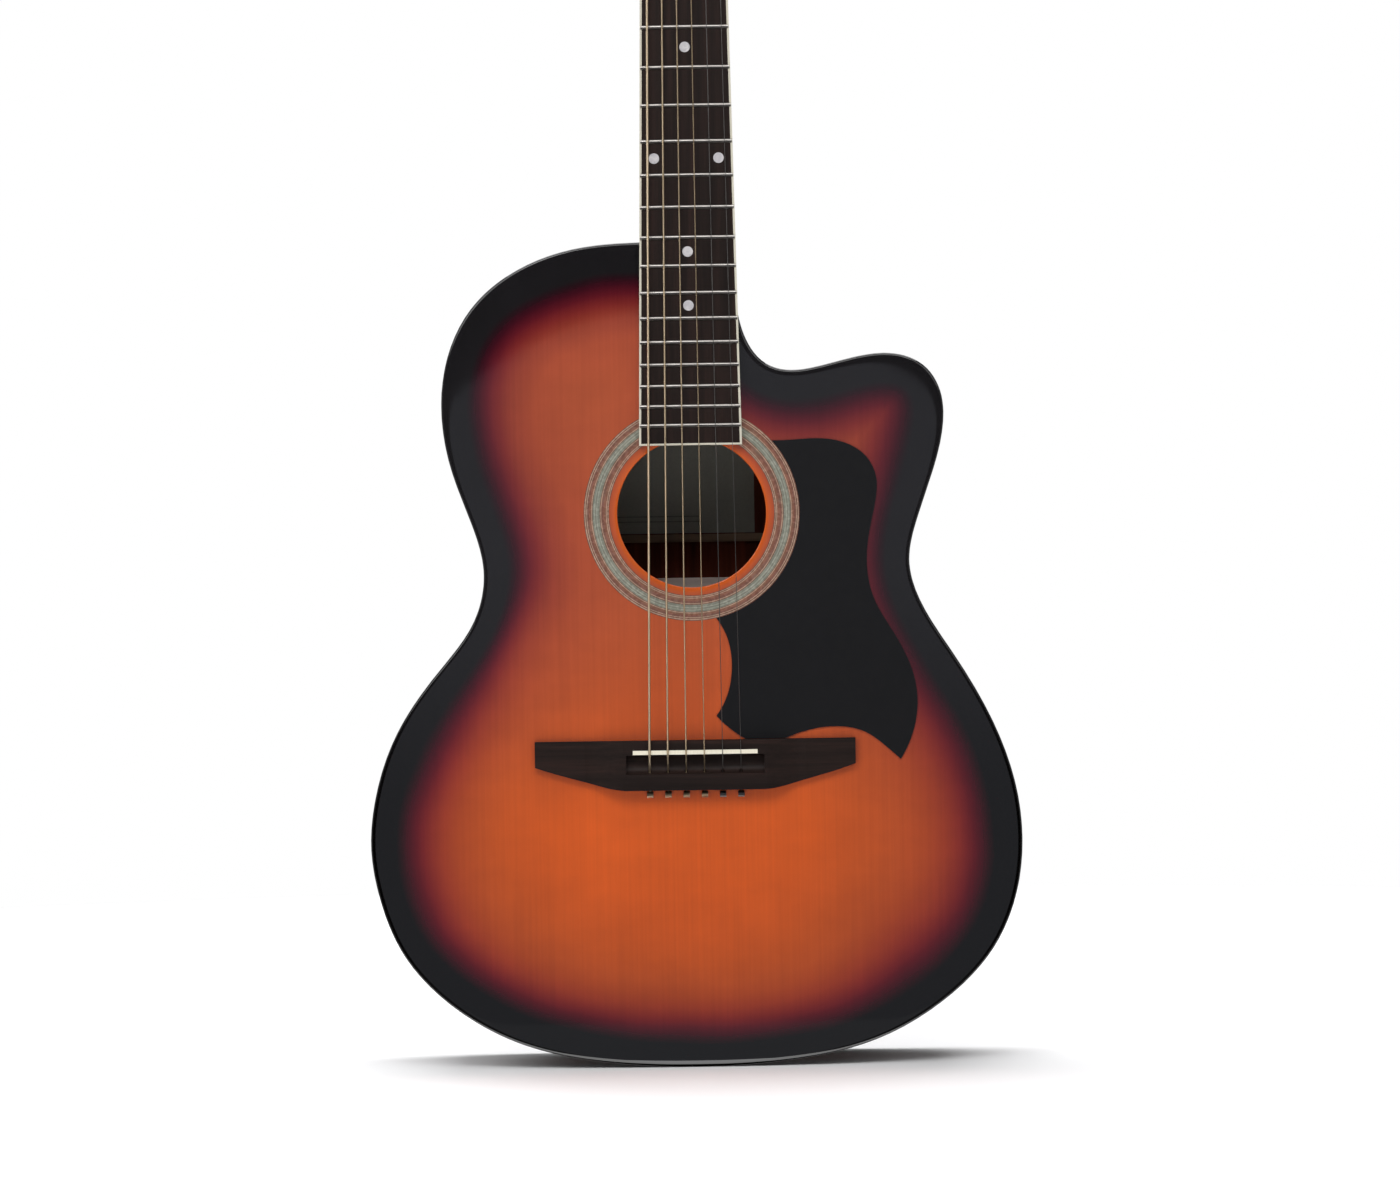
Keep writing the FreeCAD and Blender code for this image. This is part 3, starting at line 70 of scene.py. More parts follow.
def linear(red, green, blue):
    """Linear colour with alpha."""
    return red, green, blue, 1.0


class Tree:
    """A material's node tree, with short ways to add nodes; a socket given as input is linked."""

    def __init__(self, name):
        self.material = bpy.data.materials.new(name)
        self.material.use_nodes = True
        self.nodes = self.material.node_tree.nodes
        self.links = self.material.node_tree.links
        self.nodes.clear()
        self.shader = self.add("ShaderNodeBsdfPrincipled")
        output = self.add("ShaderNodeOutputMaterial")
        self.links.new(self.shader.outputs[0], output.inputs["Surface"])

    def add(self, kind, settings=None, **inputs):
        node = self.nodes.new(kind)
        for name, value in (settings or {}).items():
            setattr(node, name, value)
        for name, value in inputs.items():
            self.feed(node.inputs[name.replace("_", " ")], value)
        return node

    def feed(self, socket, value):
        if isinstance(value, bpy.types.NodeSocket):
            self.links.new(value, socket)
        else:
            socket.default_value = value

    def surface(self, **inputs):
        for name, value in inputs.items():
            self.feed(self.shader.inputs[name.replace("_", " ")], value)

    def place(self, scale):
        """Object coordinates, in metres, times a scale."""
        spot = self.add("ShaderNodeTexCoord").outputs["Object"]
        mapping = self.add("ShaderNodeMapping", Vector=spot, Scale=scale)
        return mapping.outputs[0]

    def axis(self, name):
        """One object coordinate, in metres."""
        split = self.add("ShaderNodeSeparateXYZ", Vector=self.add("ShaderNodeTexCoord").outputs["Object"])
        return split.outputs[name]

    def noise(self, scale, detail=3.0, roughness=0.5, stretch=(1, 1, 1), distortion=0.0):
        node = self.add("ShaderNodeTexNoise", Vector=self.place(stretch), Scale=scale, Detail=detail,
                        Roughness=roughness, Distortion=distortion)
        return node.outputs[0]

    def math(self, operation, first, second=0.0):
        node = self.add("ShaderNodeMath", {"operation": operation})
        for socket, value in zip(node.inputs, (first, second)):
            self.feed(socket, value)
        return node.outputs[0]

    def span(self, value, low, high, out_low=0.0, out_high=1.0, smooth=False):
        """Map a value from one range to another, clamped."""
        easing = "SMOOTHSTEP" if smooth else "LINEAR"
        settings = {"clamp": True, "interpolation_type": easing}
        node = self.add("ShaderNodeMapRange", settings, Value=value)
        ends = {"From Min": low, "From Max": high, "To Min": out_low, "To Max": out_high}
        for name, number in ends.items():
            node.inputs[name].default_value = number
        return node.outputs[0]

    def drift(self, noise, low, high):
        """Map a noise to a range."""
        return self.span(noise, NOISE_LOW, NOISE_HIGH, low, high)

    def ramp(self, value, stops, interpolation="LINEAR"):
        node = self.add("ShaderNodeValToRGB", Fac=value)
        node.color_ramp.interpolation = interpolation
        elements = node.color_ramp.elements
        while len(elements) < len(stops):
            elements.new(0.5)
        for element, (position, colour) in zip(elements, stops):
            element.position = position
            element.color = colour
        return node.outputs[0]

    def blend(self, factor, first, second, kind="MIX"):
        node = self.add("ShaderNodeMix", {"data_type": "RGBA", "blend_type": kind})
        self.feed(node.inputs[0], factor)
        self.feed(node.inputs[6], first)
        self.feed(node.inputs[7], second)
        return node.outputs[2]

    def hole_distance(self):
        """Distance from the soundhole's axis, in metres."""
        x = self.axis("X")
        z = self.math("SUBTRACT", self.axis("Z"), HOLE.z)
        square = self.math("ADD", self.math("MULTIPLY", x, x), self.math("MULTIPLY", z, z))
        return self.math("SQRT", square)

    def burst(self):
        """Depth in the burst, in millimetres, as rounded_plate wrote it on its points."""
        return self.add("ShaderNodeAttribute", {"attribute_name": "burst"}).outputs["Fac"]

    def burst_ramp(self, depth, stops):
        """Colours that follow each other from the rim inwards; the stops are in millimetres."""
        share = self.math("DIVIDE", depth, BURST_REACH)
        return self.ramp(share, [(at / BURST_REACH, colour) for at, colour in stops])

    def shade(self, colour, noise, low, high):
        """Multiply a colour by a grey that runs from low to high with a noise."""
        grey = self.drift(noise, low, high)
        tint = self.add("ShaderNodeCombineColor", Red=grey, Green=grey, Blue=grey).outputs[0]
        return self.blend(1.0, colour, tint, "MULTIPLY")

    def bump(self, height, strength, distance):
        return self.add("ShaderNodeBump", Height=height, Strength=strength, Distance=distance).outputs[0]


# ---------------------------------------------------------------- mesh helpers

SHARP_ANGLE = 35            # degrees between faces from which an edge stays crisp
CORNER_ANGLE = 40           # degrees of turn from which a loop's point counts as a corner
IN_PLANE = 0.01 * MM
ROW_HEIGHT = 0.87           # of the spacing, between rows of a triangular grid
EDGE_CLEARANCE = 0.6        # of the spacing, between a loop and the nearest grid point
CDT_TOLERANCE = 1e-7


def new_piece(name, points, faces):
    """Mesh object from points and faces, smooth except at sharp edges, riding on the guitar."""
    mesh = bpy.data.meshes.new(name)
    mesh.from_pydata([tuple(p) for p in points], [], faces)
    mesh.validate()
    obj = bpy.data.objects.new(name, mesh)
    bpy.context.scene.collection.objects.link(obj)
    soften(obj, SHARP_ANGLE)
    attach(obj, "guitar")
    return obj


def soften(obj, angle):
    """Smooth shading, with edges sharper than the angle kept crisp."""
    for polygon in obj.data.polygons:
        polygon.use_smooth = True
    obj.data.set_sharp_from_angle(angle=radians(angle))


def face_out(obj):
    """Turn every face of a closed piece outwards."""
    work = bmesh.new()
    work.from_mesh(obj.data)
    bmesh.ops.recalc_face_normals(work, faces=work.faces)
    work.to_mesh(obj.data)
    work.free()


def paint(obj, material):
    """Give the whole object one material."""
    obj.data.materials.clear()
    obj.data.materials.append(material)


def flat_loops(node, depth):
    """Boundary loops of a CAD node's faces that lie in the plane y = depth, longest first."""
    work = bmesh.new()
    work.from_mesh(NODES[node].data)
    bmesh.ops.remove_doubles(work, verts=work.verts, dist=TOUCHING)
    flat = [f for f in work.faces if all(abs(v.co.y - depth) < IN_PLANE for v in f.verts)]
    chosen = set(flat)
    steps = {}
    for face in flat:
        for loop in face.loops:
            if sum(1 for f in loop.edge.link_faces if f in chosen) == 1:
                steps[loop.vert] = loop.link_loop_next.vert
    loops = []
    while steps:
        start, vert = steps.popitem()
        ring = [(start.co.x, start.co.z)]
        while vert is not start:
            ring.append((vert.co.x, vert.co.z))
            vert = steps.pop(vert)
        loops.append(np.array(ring))
    work.free()
    return sorted(loops, key=lambda r: -np.ptp(r[:, 1]))


def evenly(ring, spacing):
    """Closed loop with points at about the given spacing, its sharp corners kept."""
    before, after = ring - np.roll(ring, 1, 0), np.roll(ring, -1, 0) - ring
    cross = before[:, 0] * after[:, 1] - before[:, 1] * after[:, 0]
    turn = np.abs(np.arctan2(cross, (before * after).sum(1)))
    marks = [i for i in range(len(ring)) if turn[i] > radians(CORNER_ANGLE)] or [0]
    ring = np.roll(ring, -marks[0], 0)
    marks = [m - marks[0] for m in marks] + [len(ring)]
    ring = np.vstack([ring, ring[:1]])
    points = []
    for first, last in zip(marks, marks[1:]):
        run = ring[first:last + 1]
        lengths = np.concatenate([[0], np.cumsum(np.linalg.norm(np.diff(run, axis=0), axis=1))])
        count = max(1, int(round(lengths[-1] / spacing)))
        at = np.linspace(0, lengths[-1], count + 1)[:-1]
        points.append(np.column_stack([np.interp(at, lengths, run[:, axis]) for axis in (0, 1)]))
    return np.vstack(points)


def area_of(ring):
    """Area of a closed loop, positive if it runs anticlockwise in x and z."""
    x, z = ring[:, 0], ring[:, 1]
    return 0.5 * float(np.sum(x * np.roll(z, -1) - np.roll(x, -1) * z))


def inward(ring):
    """Unit normals that point into a closed loop."""
    side = np.roll(ring, -1, 0) - np.roll(ring, 1, 0)
    side /= np.linalg.norm(side, axis=1)[:, None]
    return np.column_stack([-side[:, 1], side[:, 0]]) * (1 if area_of(ring) > 0 else -1)


def distance_to(ring, points):
    """Distance from each point to a closed loop."""
    a, b = ring, np.roll(ring, -1, 0)
    best = np.full(len(points), 1e9)
    for start, end in zip(a, b):
        run = end - start
        share = np.clip(((points - start) @ run) / max(run @ run, 1e-18), 0, 1)
        best = np.minimum(best, np.linalg.norm(points - start - share[:, None] * run, axis=1))
    return best


def circle_loop(radius, count):
    """Closed loop round the soundhole's axis."""
    angles = np.arange(count) * 2 * pi / count
    return np.column_stack([HOLE.x + radius * np.cos(angles), HOLE.z + radius * np.sin(angles)])


def filled(loops, spacing, keep_out):
    """Triangles that fill the first loop, with every loop as edges, but spare some rings round the hole."""
    outer = loops[0]
    points = [tuple(p) for ring in loops for p in ring]
    edges = []
    start = 0
    for ring in loops:
        edges += [(start + i, start + (i + 1) % len(ring)) for i in range(len(ring))]
        start += len(ring)
    low, high = outer.min(0), outer.max(0)
    rows = np.arange(low[1], high[1], spacing * ROW_HEIGHT)
    grid = np.array([(x + (k % 2) * spacing / 2, z) for k, z in enumerate(rows)
                     for x in np.arange(low[0], high[0], spacing)])
    grid = grid[np.min([distance_to(ring, grid) for ring in loops], axis=0) > spacing * EDGE_CLEARANCE]
    points += [tuple(p) for p in grid]
    verts, _, faces, *_ = delaunay_2d_cdt([Vector(p) for p in points], edges, [], 0, CDT_TOLERANCE)
    flat = np.array([tuple(v) for v in verts])
    centres = np.array([flat[list(f)].mean(0) for f in faces])
    inside = within(outer, centres)
    radius = np.hypot(centres[:, 0] - HOLE.x, centres[:, 1] - HOLE.z)
    for low_r, high_r in keep_out:
        inside &= ~((radius > low_r) & (radius < high_r))
    return flat, [list(f) for f, good in zip(faces, inside) if good]


def within(ring, points):
    """Which points lie inside a closed loop, by counting crossings."""
    inside = np.zeros(len(points), bool)
    for (x1, z1), (x2, z2) in zip(ring, np.roll(ring, -1, 0)):
        if z1 == z2:
            continue
        crosses = (points[:, 1] > min(z1, z2)) & (points[:, 1] <= max(z1, z2))
        at = x1 + (points[:, 1] - z1) / (z2 - z1) * (x2 - x1)
        inside ^= crosses & (points[:, 0] < at)
    return inside


# ---------------------------------------------------------------- lacquered plates

# How far in from the rim, and how far below the plate's face, in millimetres: a softly rolled edge.
RIM_PROFILE = ((0.0, 1.6), (0.06, 1.17), (0.25, 0.77), (0.55, 0.45), (0.95, 0.2), (1.5, 0.07), (2.4, 0.03),
               (3.6, 0.012), (5.0, 0.004), (7.0, 0.0))
HOLE_RADIUS = 42.5 * MM
HOLE_ROUNDING = 0.5 * MM
ROSETTE_EDGES = (47.1 * MM, 61.7 * MM)
HOLE_SIDES, ROSETTE_SIDES = 128, 144
RIM_SPACING = 3.0 * MM
PLATE_SPACING = 4.0 * MM
INSIDE_SPACING = 40.0 * MM
PLATE_SHARP_ANGLE = 50

# Where the burst fades sooner (+) or later (-): x, z, half width, half height in millimetres; how much.
BURST_SHIFTS = ((-95, 465, 70, 45, -0.10), (95, 355, 50, 35, -0.12), (115, 300, 30, 45, 0.14),
                (130, 50, 50, 40, -0.12), (0, 60, 90, 40, 0.30), (-120, 243, 40, 32, 0.25),
                (-160, 178, 40, 22, -0.10), (100, 115, 36, 75, -0.20), (-105, 258, 25, 25, 0.15))


def burst_depth(points, rim):
    """Distance from the rim in millimetres, stretched or shrunk where the burst isn't even."""
    depth = distance_to(rim, points) / MM
    x, z = points[:, 0] / MM, points[:, 1] / MM
    factor = np.ones(len(points))
    for at_x, at_z, half_width, half_height, change in BURST_SHIFTS:
        factor += change * np.exp(-(((x - at_x) / half_width) ** 2 + ((z - at_z) / half_height) ** 2))
    return depth * factor


def rounded_plate(name, node, face, inner, hole, lacquer, raw):
    """Closed plate, lacquered outside and raw inside, whose points know how deep they lie in the burst."""
    way = 1 if inner > face else -1
    rim = evenly(flat_loops(node, inner)[0], RIM_SPACING)
    normals = inward(rim)
    top_edge = np.abs(rim[:, 1] - rim[:, 1].max()) < TOUCHING
    points, faces = [], []

    def add(flat, y):
        start = len(points)
        points.extend((x, y, z) for x, z in flat)
        return start

    def strip(first, second, count):
        for i in range(count):
            j = (i + 1) % count
            faces.append([first + i, first + j, second + j, second + i])

    levels = []
    for inset, drop in reversed(RIM_PROFILE):
        reach = np.where(top_edge, 0.0, inset * MM)[:, None]
        levels.append((rim + normals * reach, face + way * drop * MM))
    loops = [levels[0][0]]
    keep_out = []
    if hole:
        loops.append(circle_loop(HOLE_RADIUS + HOLE_ROUNDING, HOLE_SIDES))
        loops += [circle_loop(radius, ROSETTE_SIDES) for radius in ROSETTE_EDGES]
        keep_out = [(0, HOLE_RADIUS + HOLE_ROUNDING), ROSETTE_EDGES]
    flat, triangles = filled(loops, PLATE_SPACING, keep_out)
    start = add(flat, face)
    faces.extend([start + i for i in f] for f in triangles)

    starts = [add(ring, y) for ring, y in levels]
    last = add(rim, inner)
    for first, second in zip(starts, starts[1:] + [last]):
        strip(first, second, len(rim))
    back_loops = [rim]
    if hole:
        back_loops.append(circle_loop(HOLE_RADIUS, HOLE_SIDES))
        wall = [add(circle_loop(HOLE_RADIUS + HOLE_ROUNDING * (1 - sin(a)), HOLE_SIDES),
                    face + way * HOLE_ROUNDING * (1 - cos(a))) for a in (0, pi / 6, pi / 3, pi / 2)]
        wall.append(add(back_loops[1], inner))
        for first, second in zip(wall, wall[1:]):
            strip(second, first, HOLE_SIDES)
    flat, triangles = filled(back_loops, INSIDE_SPACING, [(0, HOLE_RADIUS)] if hole else [])
    start = add(flat, inner)
    faces.extend([start + i for i in reversed(f)] for f in triangles)

    obj = new_piece(name, points, faces)
    obj.data.materials.append(lacquer)
    obj.data.materials.append(raw)
    work = bmesh.new()
    work.from_mesh(obj.data)
    bmesh.ops.remove_doubles(work, verts=work.verts, dist=TOUCHING)
    bmesh.ops.delete(work, geom=[v for v in work.verts if not v.link_faces], context="VERTS")
    bmesh.ops.recalc_face_normals(work, faces=work.faces)
    for flat_face in work.faces:
        if all(abs(v.co.y - inner) < TOUCHING for v in flat_face.verts):
            flat_face.material_index = 1
    work.to_mesh(obj.data)
    work.free()
    soften(obj, PLATE_SHARP_ANGLE)
    places = np.array([v.co for v in obj.data.vertices])
    layer = obj.data.attributes.new("burst", "FLOAT", "POINT")
    layer.data.foreach_set("value", burst_depth(places[:, [0, 2]], rim).astype(np.float32))
    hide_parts(node)
    return obj


# ---------------------------------------------------------------- neck

# Heights at which the blend starts, is fully square, and ends; then its half width and its depth at both
# ends, all in millimetres. The powers shape its section: 1 is an ellipse, 0 a rectangle.
BLEND_FROM, BLEND_SQUARE, BLEND_TO = 802.0, 830.5, 836.5
BLEND_HALF = (22.15, 21.62)
BLEND_DEPTH = (14.85, 14.55)
BLEND_ROWS, BLEND_ACROSS = 20, 56
BLEND_EASE = 2.2
ROUND_POWERS = (1.0, 0.85)
SQUARE_POWER = 0.06


def neck_blend(material):
    """Wood that eases the round back of the neck into the square foot of the headstock."""
    points = []
    for step in np.linspace(0, 1, BLEND_ROWS):
        z = BLEND_FROM + (BLEND_TO - BLEND_FROM) * step
        square = min(1.0, (z - BLEND_FROM) / (BLEND_SQUARE - BLEND_FROM)) ** BLEND_EASE
        half = BLEND_HALF[0] + (BLEND_HALF[1] - BLEND_HALF[0]) * step
        depth = BLEND_DEPTH[0] + (BLEND_DEPTH[1] - BLEND_DEPTH[0]) * step
        side, back = (power + (SQUARE_POWER - power) * square for power in ROUND_POWERS)
        for a in np.linspace(0, pi, BLEND_ACROSS):
            x = np.copysign(abs(cos(a)) ** side, cos(a)) * half
            points.append((x * MM, FRONT + abs(sin(a)) ** back * depth * MM, z * MM))
    faces = []
    for row in range(0, (BLEND_ROWS - 1) * BLEND_ACROSS, BLEND_ACROSS):
        for i in range(BLEND_ACROSS):
            j = (i + 1) % BLEND_ACROSS
            faces.append([row + i, row + j, row + BLEND_ACROSS + j, row + BLEND_ACROSS + i])
    faces += [list(range(BLEND_ACROSS))[::-1], list(range(len(points) - BLEND_ACROSS, len(points)))]
    blend = new_piece("neck_blend", points, faces)
    face_out(blend)
    paint(blend, material)


# ---------------------------------------------------------------- materials

# Colours by depth in the burst, in millimetres, for the lower and the upper body; the upper body's orange is
# darker, painted shade, and its black is a little lighter, a painted reflection, as in the photograph.
BLACK = linear(0.0016, 0.0013, 0.0013)
BLACK_PAINTED_REFLECTION = linear(0.0105, 0.0098, 0.0108)
BURST_REACH = 120.0
BURST_LOW = ((0, BLACK), (15, BLACK), (18, linear(0.016, 0.0012, 0.0028)), (22, linear(0.047, 0.0012, 0.006)),
             (26, linear(0.088, 0.003, 0.008)), (30, linear(0.142, 0.009, 0.010)),
             (35, linear(0.208, 0.0195, 0.011)), (40, linear(0.262, 0.0305, 0.011)),
             (50, linear(0.34, 0.049, 0.010)), (60, linear(0.40, 0.062, 0.010)),
             (75, linear(0.46, 0.071, 0.0085)), (110, linear(0.575, 0.085, 0.007)))
BURST_HIGH_PAINTED_SHADE = ((0, BLACK_PAINTED_REFLECTION), (16, BLACK_PAINTED_REFLECTION), (19, linear(0.018, 0.0055, 0.0085)),
              (23, linear(0.042, 0.0045, 0.010)), (28, linear(0.096, 0.008, 0.014)),
              (34, linear(0.175, 0.019, 0.017)), (42, linear(0.26, 0.040, 0.020)),
              (55, linear(0.35, 0.060, 0.022)), (75, linear(0.365, 0.066, 0.022)),
              (110, linear(0.37, 0.070, 0.022)))
BURST_BACK = ((0, BLACK), (16, BLACK), (30, srgb(36, 12, 10)), (60, srgb(70, 28, 16)),
              (110, srgb(96, 44, 24)))
BURST_WANDER = 2.0                              # millimetres by which the burst's edge strays
SHADE_RISE_FROM, SHADE_RISE_TO = 130 * MM, 310 * MM         # heights between which the upper colours, with their painted shade, take over
HOLE_GLOW = 4 * MM                              # width of the paler edge round the soundhole
HALF_DEPTH = 3 * MM - TOP_HIGH.y                # of the body, outside to middle
GRAIN_SPAN = (0.32, 0.68)                       # noise values that stand for dark and light wood


def sunburst():
    """Top lacquer: black rim, oxblood, then orange spruce with fine upright grain, under clear gloss."""
    tree = Tree("sunburst_lacquer")
    depth = tree.math("ADD", tree.burst(), tree.drift(tree.noise(9.0, 2.0), -BURST_WANDER, BURST_WANDER))
    # Painted shade and painted reflection: towards the top the burst turns a darker orange with a lighter
    # black.
    shade_rise = tree.span(tree.axis("Z"), SHADE_RISE_FROM, SHADE_RISE_TO, smooth=True)
    colour = tree.blend(shade_rise, tree.burst_ramp(depth, BURST_LOW), tree.burst_ramp(depth, BURST_HIGH_PAINTED_SHADE))
    grain = tree.noise(1.0, 4.0, 0.6, stretch=(520, 60, 7))
    colour = tree.shade(colour, grain, 0.93, 1.05)
    flame = tree.noise(1.0, 3.0, 0.55, stretch=(26, 5, 60))
    colour = tree.shade(colour, flame, 0.96, 1.04)
    blotch = tree.noise(14.0, 4.0, 0.6)
    colour = tree.shade(colour, blotch, 0.90, 1.08)
    edge = tree.span(tree.hole_distance(), HOLE_RADIUS, HOLE_RADIUS + HOLE_GLOW, 0.55, 0.0)
    colour = tree.blend(edge, colour, linear(0.72, 0.125, 0.012))
    tree.surface(Base_Color=colour, Roughness=tree.drift(blotch, 0.34, 0.42),
                 Normal=tree.bump(grain, 0.06, 0.2 * MM), Coat_Weight=1.0, Coat_Roughness=0.04, Coat_IOR=1.5,
                 Specular_IOR_Level=0.0)
    return tree.material


def dark_gloss(tree, colour, figure):
    """Clear gloss over the dark wood of sides and back."""
    tree.surface(Base_Color=colour, Roughness=0.32, Normal=tree.bump(figure, 0.05, 0.2 * MM),
                 Coat_Weight=1.0, Coat_Roughness=0.05, Coat_IOR=1.5)
    return tree.material


def rim_lacquer():
    """Sides: black at both edges, dark walnut between, under clear gloss."""
    tree = Tree("rim_lacquer")
    from_edge = tree.math("SUBTRACT", HALF_DEPTH, tree.math("ABSOLUTE", tree.axis("Y")))
    colour = tree.ramp(tree.math("DIVIDE", from_edge, 46 * MM),
                       [(0.0, BLACK), (0.28, BLACK), (0.48, srgb(34, 12, 10)), (0.75, srgb(64, 26, 14)),
                        (1.0, srgb(78, 34, 18))])
    figure = tree.noise(1.0, 5.0, 0.6, stretch=(18, 240, 18), distortion=0.4)
    return dark_gloss(tree, tree.shade(colour, figure, 0.75, 1.15), figure)


def back_lacquer():
    """Back: a burst of black to reddish mahogany with long pores."""
    tree = Tree("back_lacquer")
    colour = tree.burst_ramp(tree.burst(), BURST_BACK)
    figure = tree.noise(1.0, 5.0, 0.6, stretch=(230, 40, 9), distortion=0.3)
    return dark_gloss(tree, tree.shade(colour, figure, 0.7, 1.15), figure)


def wood_grain(tree, stretch):
    """Grain along one direction, and how far it is from dark to light wood."""
    grain = tree.noise(1.0, 5.0, 0.62, stretch=stretch, distortion=0.25)
    return grain, tree.span(grain, *GRAIN_SPAN)


def unfinished(tree, colour, grain, roughness, specular):
    """Bare wood, rougher where the grain is dark."""
    tree.surface(Base_Color=colour, Roughness=tree.drift(grain, roughness + 0.08, roughness - 0.04),
                 Normal=tree.bump(grain, 0.25, 0.3 * MM), Specular_IOR_Level=specular)
    return tree.material


def raw_wood(name, light, dark, stretch, roughness=0.65, specular=0.35):
    """Unfinished wood with grain along one direction."""
    tree = Tree(name)
    grain, share = wood_grain(tree, stretch)
    colour = tree.shade(tree.blend(share, dark, light), tree.noise(22.0), 0.9, 1.06)
    return unfinished(tree, colour, grain, roughness, specular)


def back_bars():
    """Back braces: those behind and above the label are dark with painted shade, the broad ones below it pale
    with painted light from the soundhole.
    """
    tree = Tree("raw_spruce_bars_lit_and_shaded")
    grain, share = wood_grain(tree, (14, 60, 240))
    upper = tree.blend(share, srgb(104, 80, 62), srgb(136, 112, 90))
    lower = tree.blend(share, srgb(186, 168, 160), srgb(220, 204, 196))
    # Painted light and shade: the same spruce, pale below 292-294 mm and dark above.
    colour = tree.blend(tree.span(tree.axis("Z"), 292 * MM, 294 * MM), lower, upper)
    return unfinished(tree, colour, grain, 0.65, 0.35)


def rosewood(name, streak_stretch, pore_stretch):
    """Dark brown rosewood with open pores and darker streaks along the grain."""
    tree = Tree(name)
    streak = tree.noise(1.0, 5.0, 0.6, stretch=streak_stretch, distortion=0.5)
    fine = tree.noise(1.0, 3.0, 0.7, stretch=pore_stretch)
    colour = tree.ramp(tree.drift(streak, 0.0, 1.0),
                       [(0.0, srgb(27, 19, 17)), (0.5, srgb(35, 25, 22)), (1.0, srgb(46, 31, 27))])
    colour = tree.shade(colour, fine, 0.8, 1.1)
    tree.surface(Base_Color=colour, Roughness=tree.drift(fine, 0.55, 0.44),
                 Normal=tree.bump(fine, 0.35, 0.15 * MM), Specular_IOR_Level=0.16)
    return tree.material


def plastic(name, colour, roughness, specular=0.5):
    """Moulded plastic with faint mottling, fine scuffs and a soft skin."""
    tree = Tree(name)
    cloud = tree.noise(60.0, 4.0)
    scuff = tree.noise(1.0, 2.0, 0.5, stretch=(900, 900, 160))
    shade = tree.shade(colour, cloud, 0.97, 1.03)
    tree.surface(Base_Color=shade, Roughness=tree.drift(scuff, roughness * 0.85, roughness * 1.2),
                 Normal=tree.bump(cloud, 0.05, 0.2 * MM), Specular_IOR_Level=specular)
    return tree.material


def pearloid(name, light, dark, roughness=0.22, cell=160.0):
    """Pearl-like plastic with drifting bright cells."""
    tree = Tree(name)
    cloud = tree.noise(cell, 3.0, 0.6, distortion=1.8)
    colour = tree.blend(tree.span(cloud, 0.35, 0.65), dark, light)
    tree.surface(Base_Color=colour, Roughness=tree.drift(cloud, roughness * 1.3, roughness),
                 Normal=tree.bump(cloud, 0.05, 0.2 * MM), Coat_Weight=0.6, Coat_Roughness=0.05)
    return tree.material


def metal(name, colour, roughness, streaks=(300, 300, 300), strength=0.06):
    """Plated or drawn metal with fine polishing lines."""
    tree = Tree(name)
    lines = tree.noise(1.0, 3.0, 0.6, stretch=streaks)
    smear = tree.noise(90.0, 3.0)
    shade = tree.shade(colour, smear, 0.93, 1.04)
    tree.surface(Base_Color=shade, Metallic=1.0,
                 Roughness=tree.drift(lines, roughness * 0.8, roughness * 1.3),
                 Normal=tree.bump(lines, strength, 0.1 * MM))
    return tree.material


WINDING_SLANT = 0.05


def wound(name, light, dark, pitch):
    """String wound with fine wire: ridges across the string, darker in the grooves."""
    tree = Tree(name)
    along = tree.math("ADD", tree.axis("Z"), tree.math("MULTIPLY", tree.axis("X"), WINDING_SLANT))
    phase = tree.math("MULTIPLY", along, 2 * pi / pitch)
    ridge = tree.span(tree.math("SINE", phase), -1.0, 1.0)
    tarnish = tree.noise(40.0, 3.0)
    colour = tree.blend(ridge, dark, light)
    colour = tree.shade(colour, tarnish, 0.85, 1.08)
    tree.surface(Base_Color=colour, Metallic=1.0, Roughness=tree.drift(tarnish, 0.28, 0.4),
                 Normal=tree.bump(ridge, 0.6, 0.1 * MM))
    return tree.material


SHELL = linear(0.195, 0.20, 0.155)
SHELL_CORE = linear(0.30, 0.30, 0.25)
BAND = linear(0.215, 0.088, 0.054)
BAND_DEEP = linear(0.175, 0.072, 0.050)
PALE_LINE = linear(0.39, 0.26, 0.18)
DARK_LINE = linear(0.15, 0.052, 0.034)
# Inner radius of each ring, in millimetres, and its colour.
ROSETTE_RINGS = ((47.1, DARK_LINE), (47.5, PALE_LINE), (48.0, DARK_LINE), (48.4, PALE_LINE), (48.9, BAND),
                 (50.3, BAND_DEEP), (51.6, PALE_LINE), (52.1, DARK_LINE), (52.5, SHELL), (53.8, SHELL_CORE),
                 (54.4, SHELL), (55.2, SHELL_CORE), (55.7, SHELL), (56.6, DARK_LINE), (56.9, PALE_LINE),
                 (57.4, BAND), (58.6, BAND_DEEP), (59.6, PALE_LINE), (60.1, DARK_LINE), (60.6, PALE_LINE),
                 (61.2, DARK_LINE))


def shell():
    """Rosette: a grey-green shell band between two brown bands, edged by thin pale and dark lines."""
    tree = Tree("shell_rings")
    first, last = (edge / MM for edge in ROSETTE_EDGES)
    share = tree.span(tree.hole_distance(), first * MM, last * MM)
    stops = [((at - first) / (last - first), colour) for at, colour in ROSETTE_RINGS]
    base = tree.ramp(share, stops, "CONSTANT")
    chips = tree.add("ShaderNodeTexVoronoi", Vector=tree.place((1, 0.2, 1)), Scale=620.0).outputs["Color"]
    grey = tree.add("ShaderNodeRGBToBW", Color=chips).outputs[0]
    colour = tree.shade(base, grey, 0.86, 1.1)
    tint = tree.noise(150.0, 3.0, 0.6)
    colour = tree.blend(tree.span(tint, 0.5, 0.75, 0.0, 0.25), colour, linear(0.19, 0.21, 0.15))
    tree.surface(Base_Color=colour, Roughness=tree.drift(grey, 0.22, 0.32),
                 Normal=tree.bump(grey, 0.05, 0.1 * MM), Coat_Weight=0.9, Coat_Roughness=0.04,
                 Specular_IOR_Level=0.2)
    return tree.material


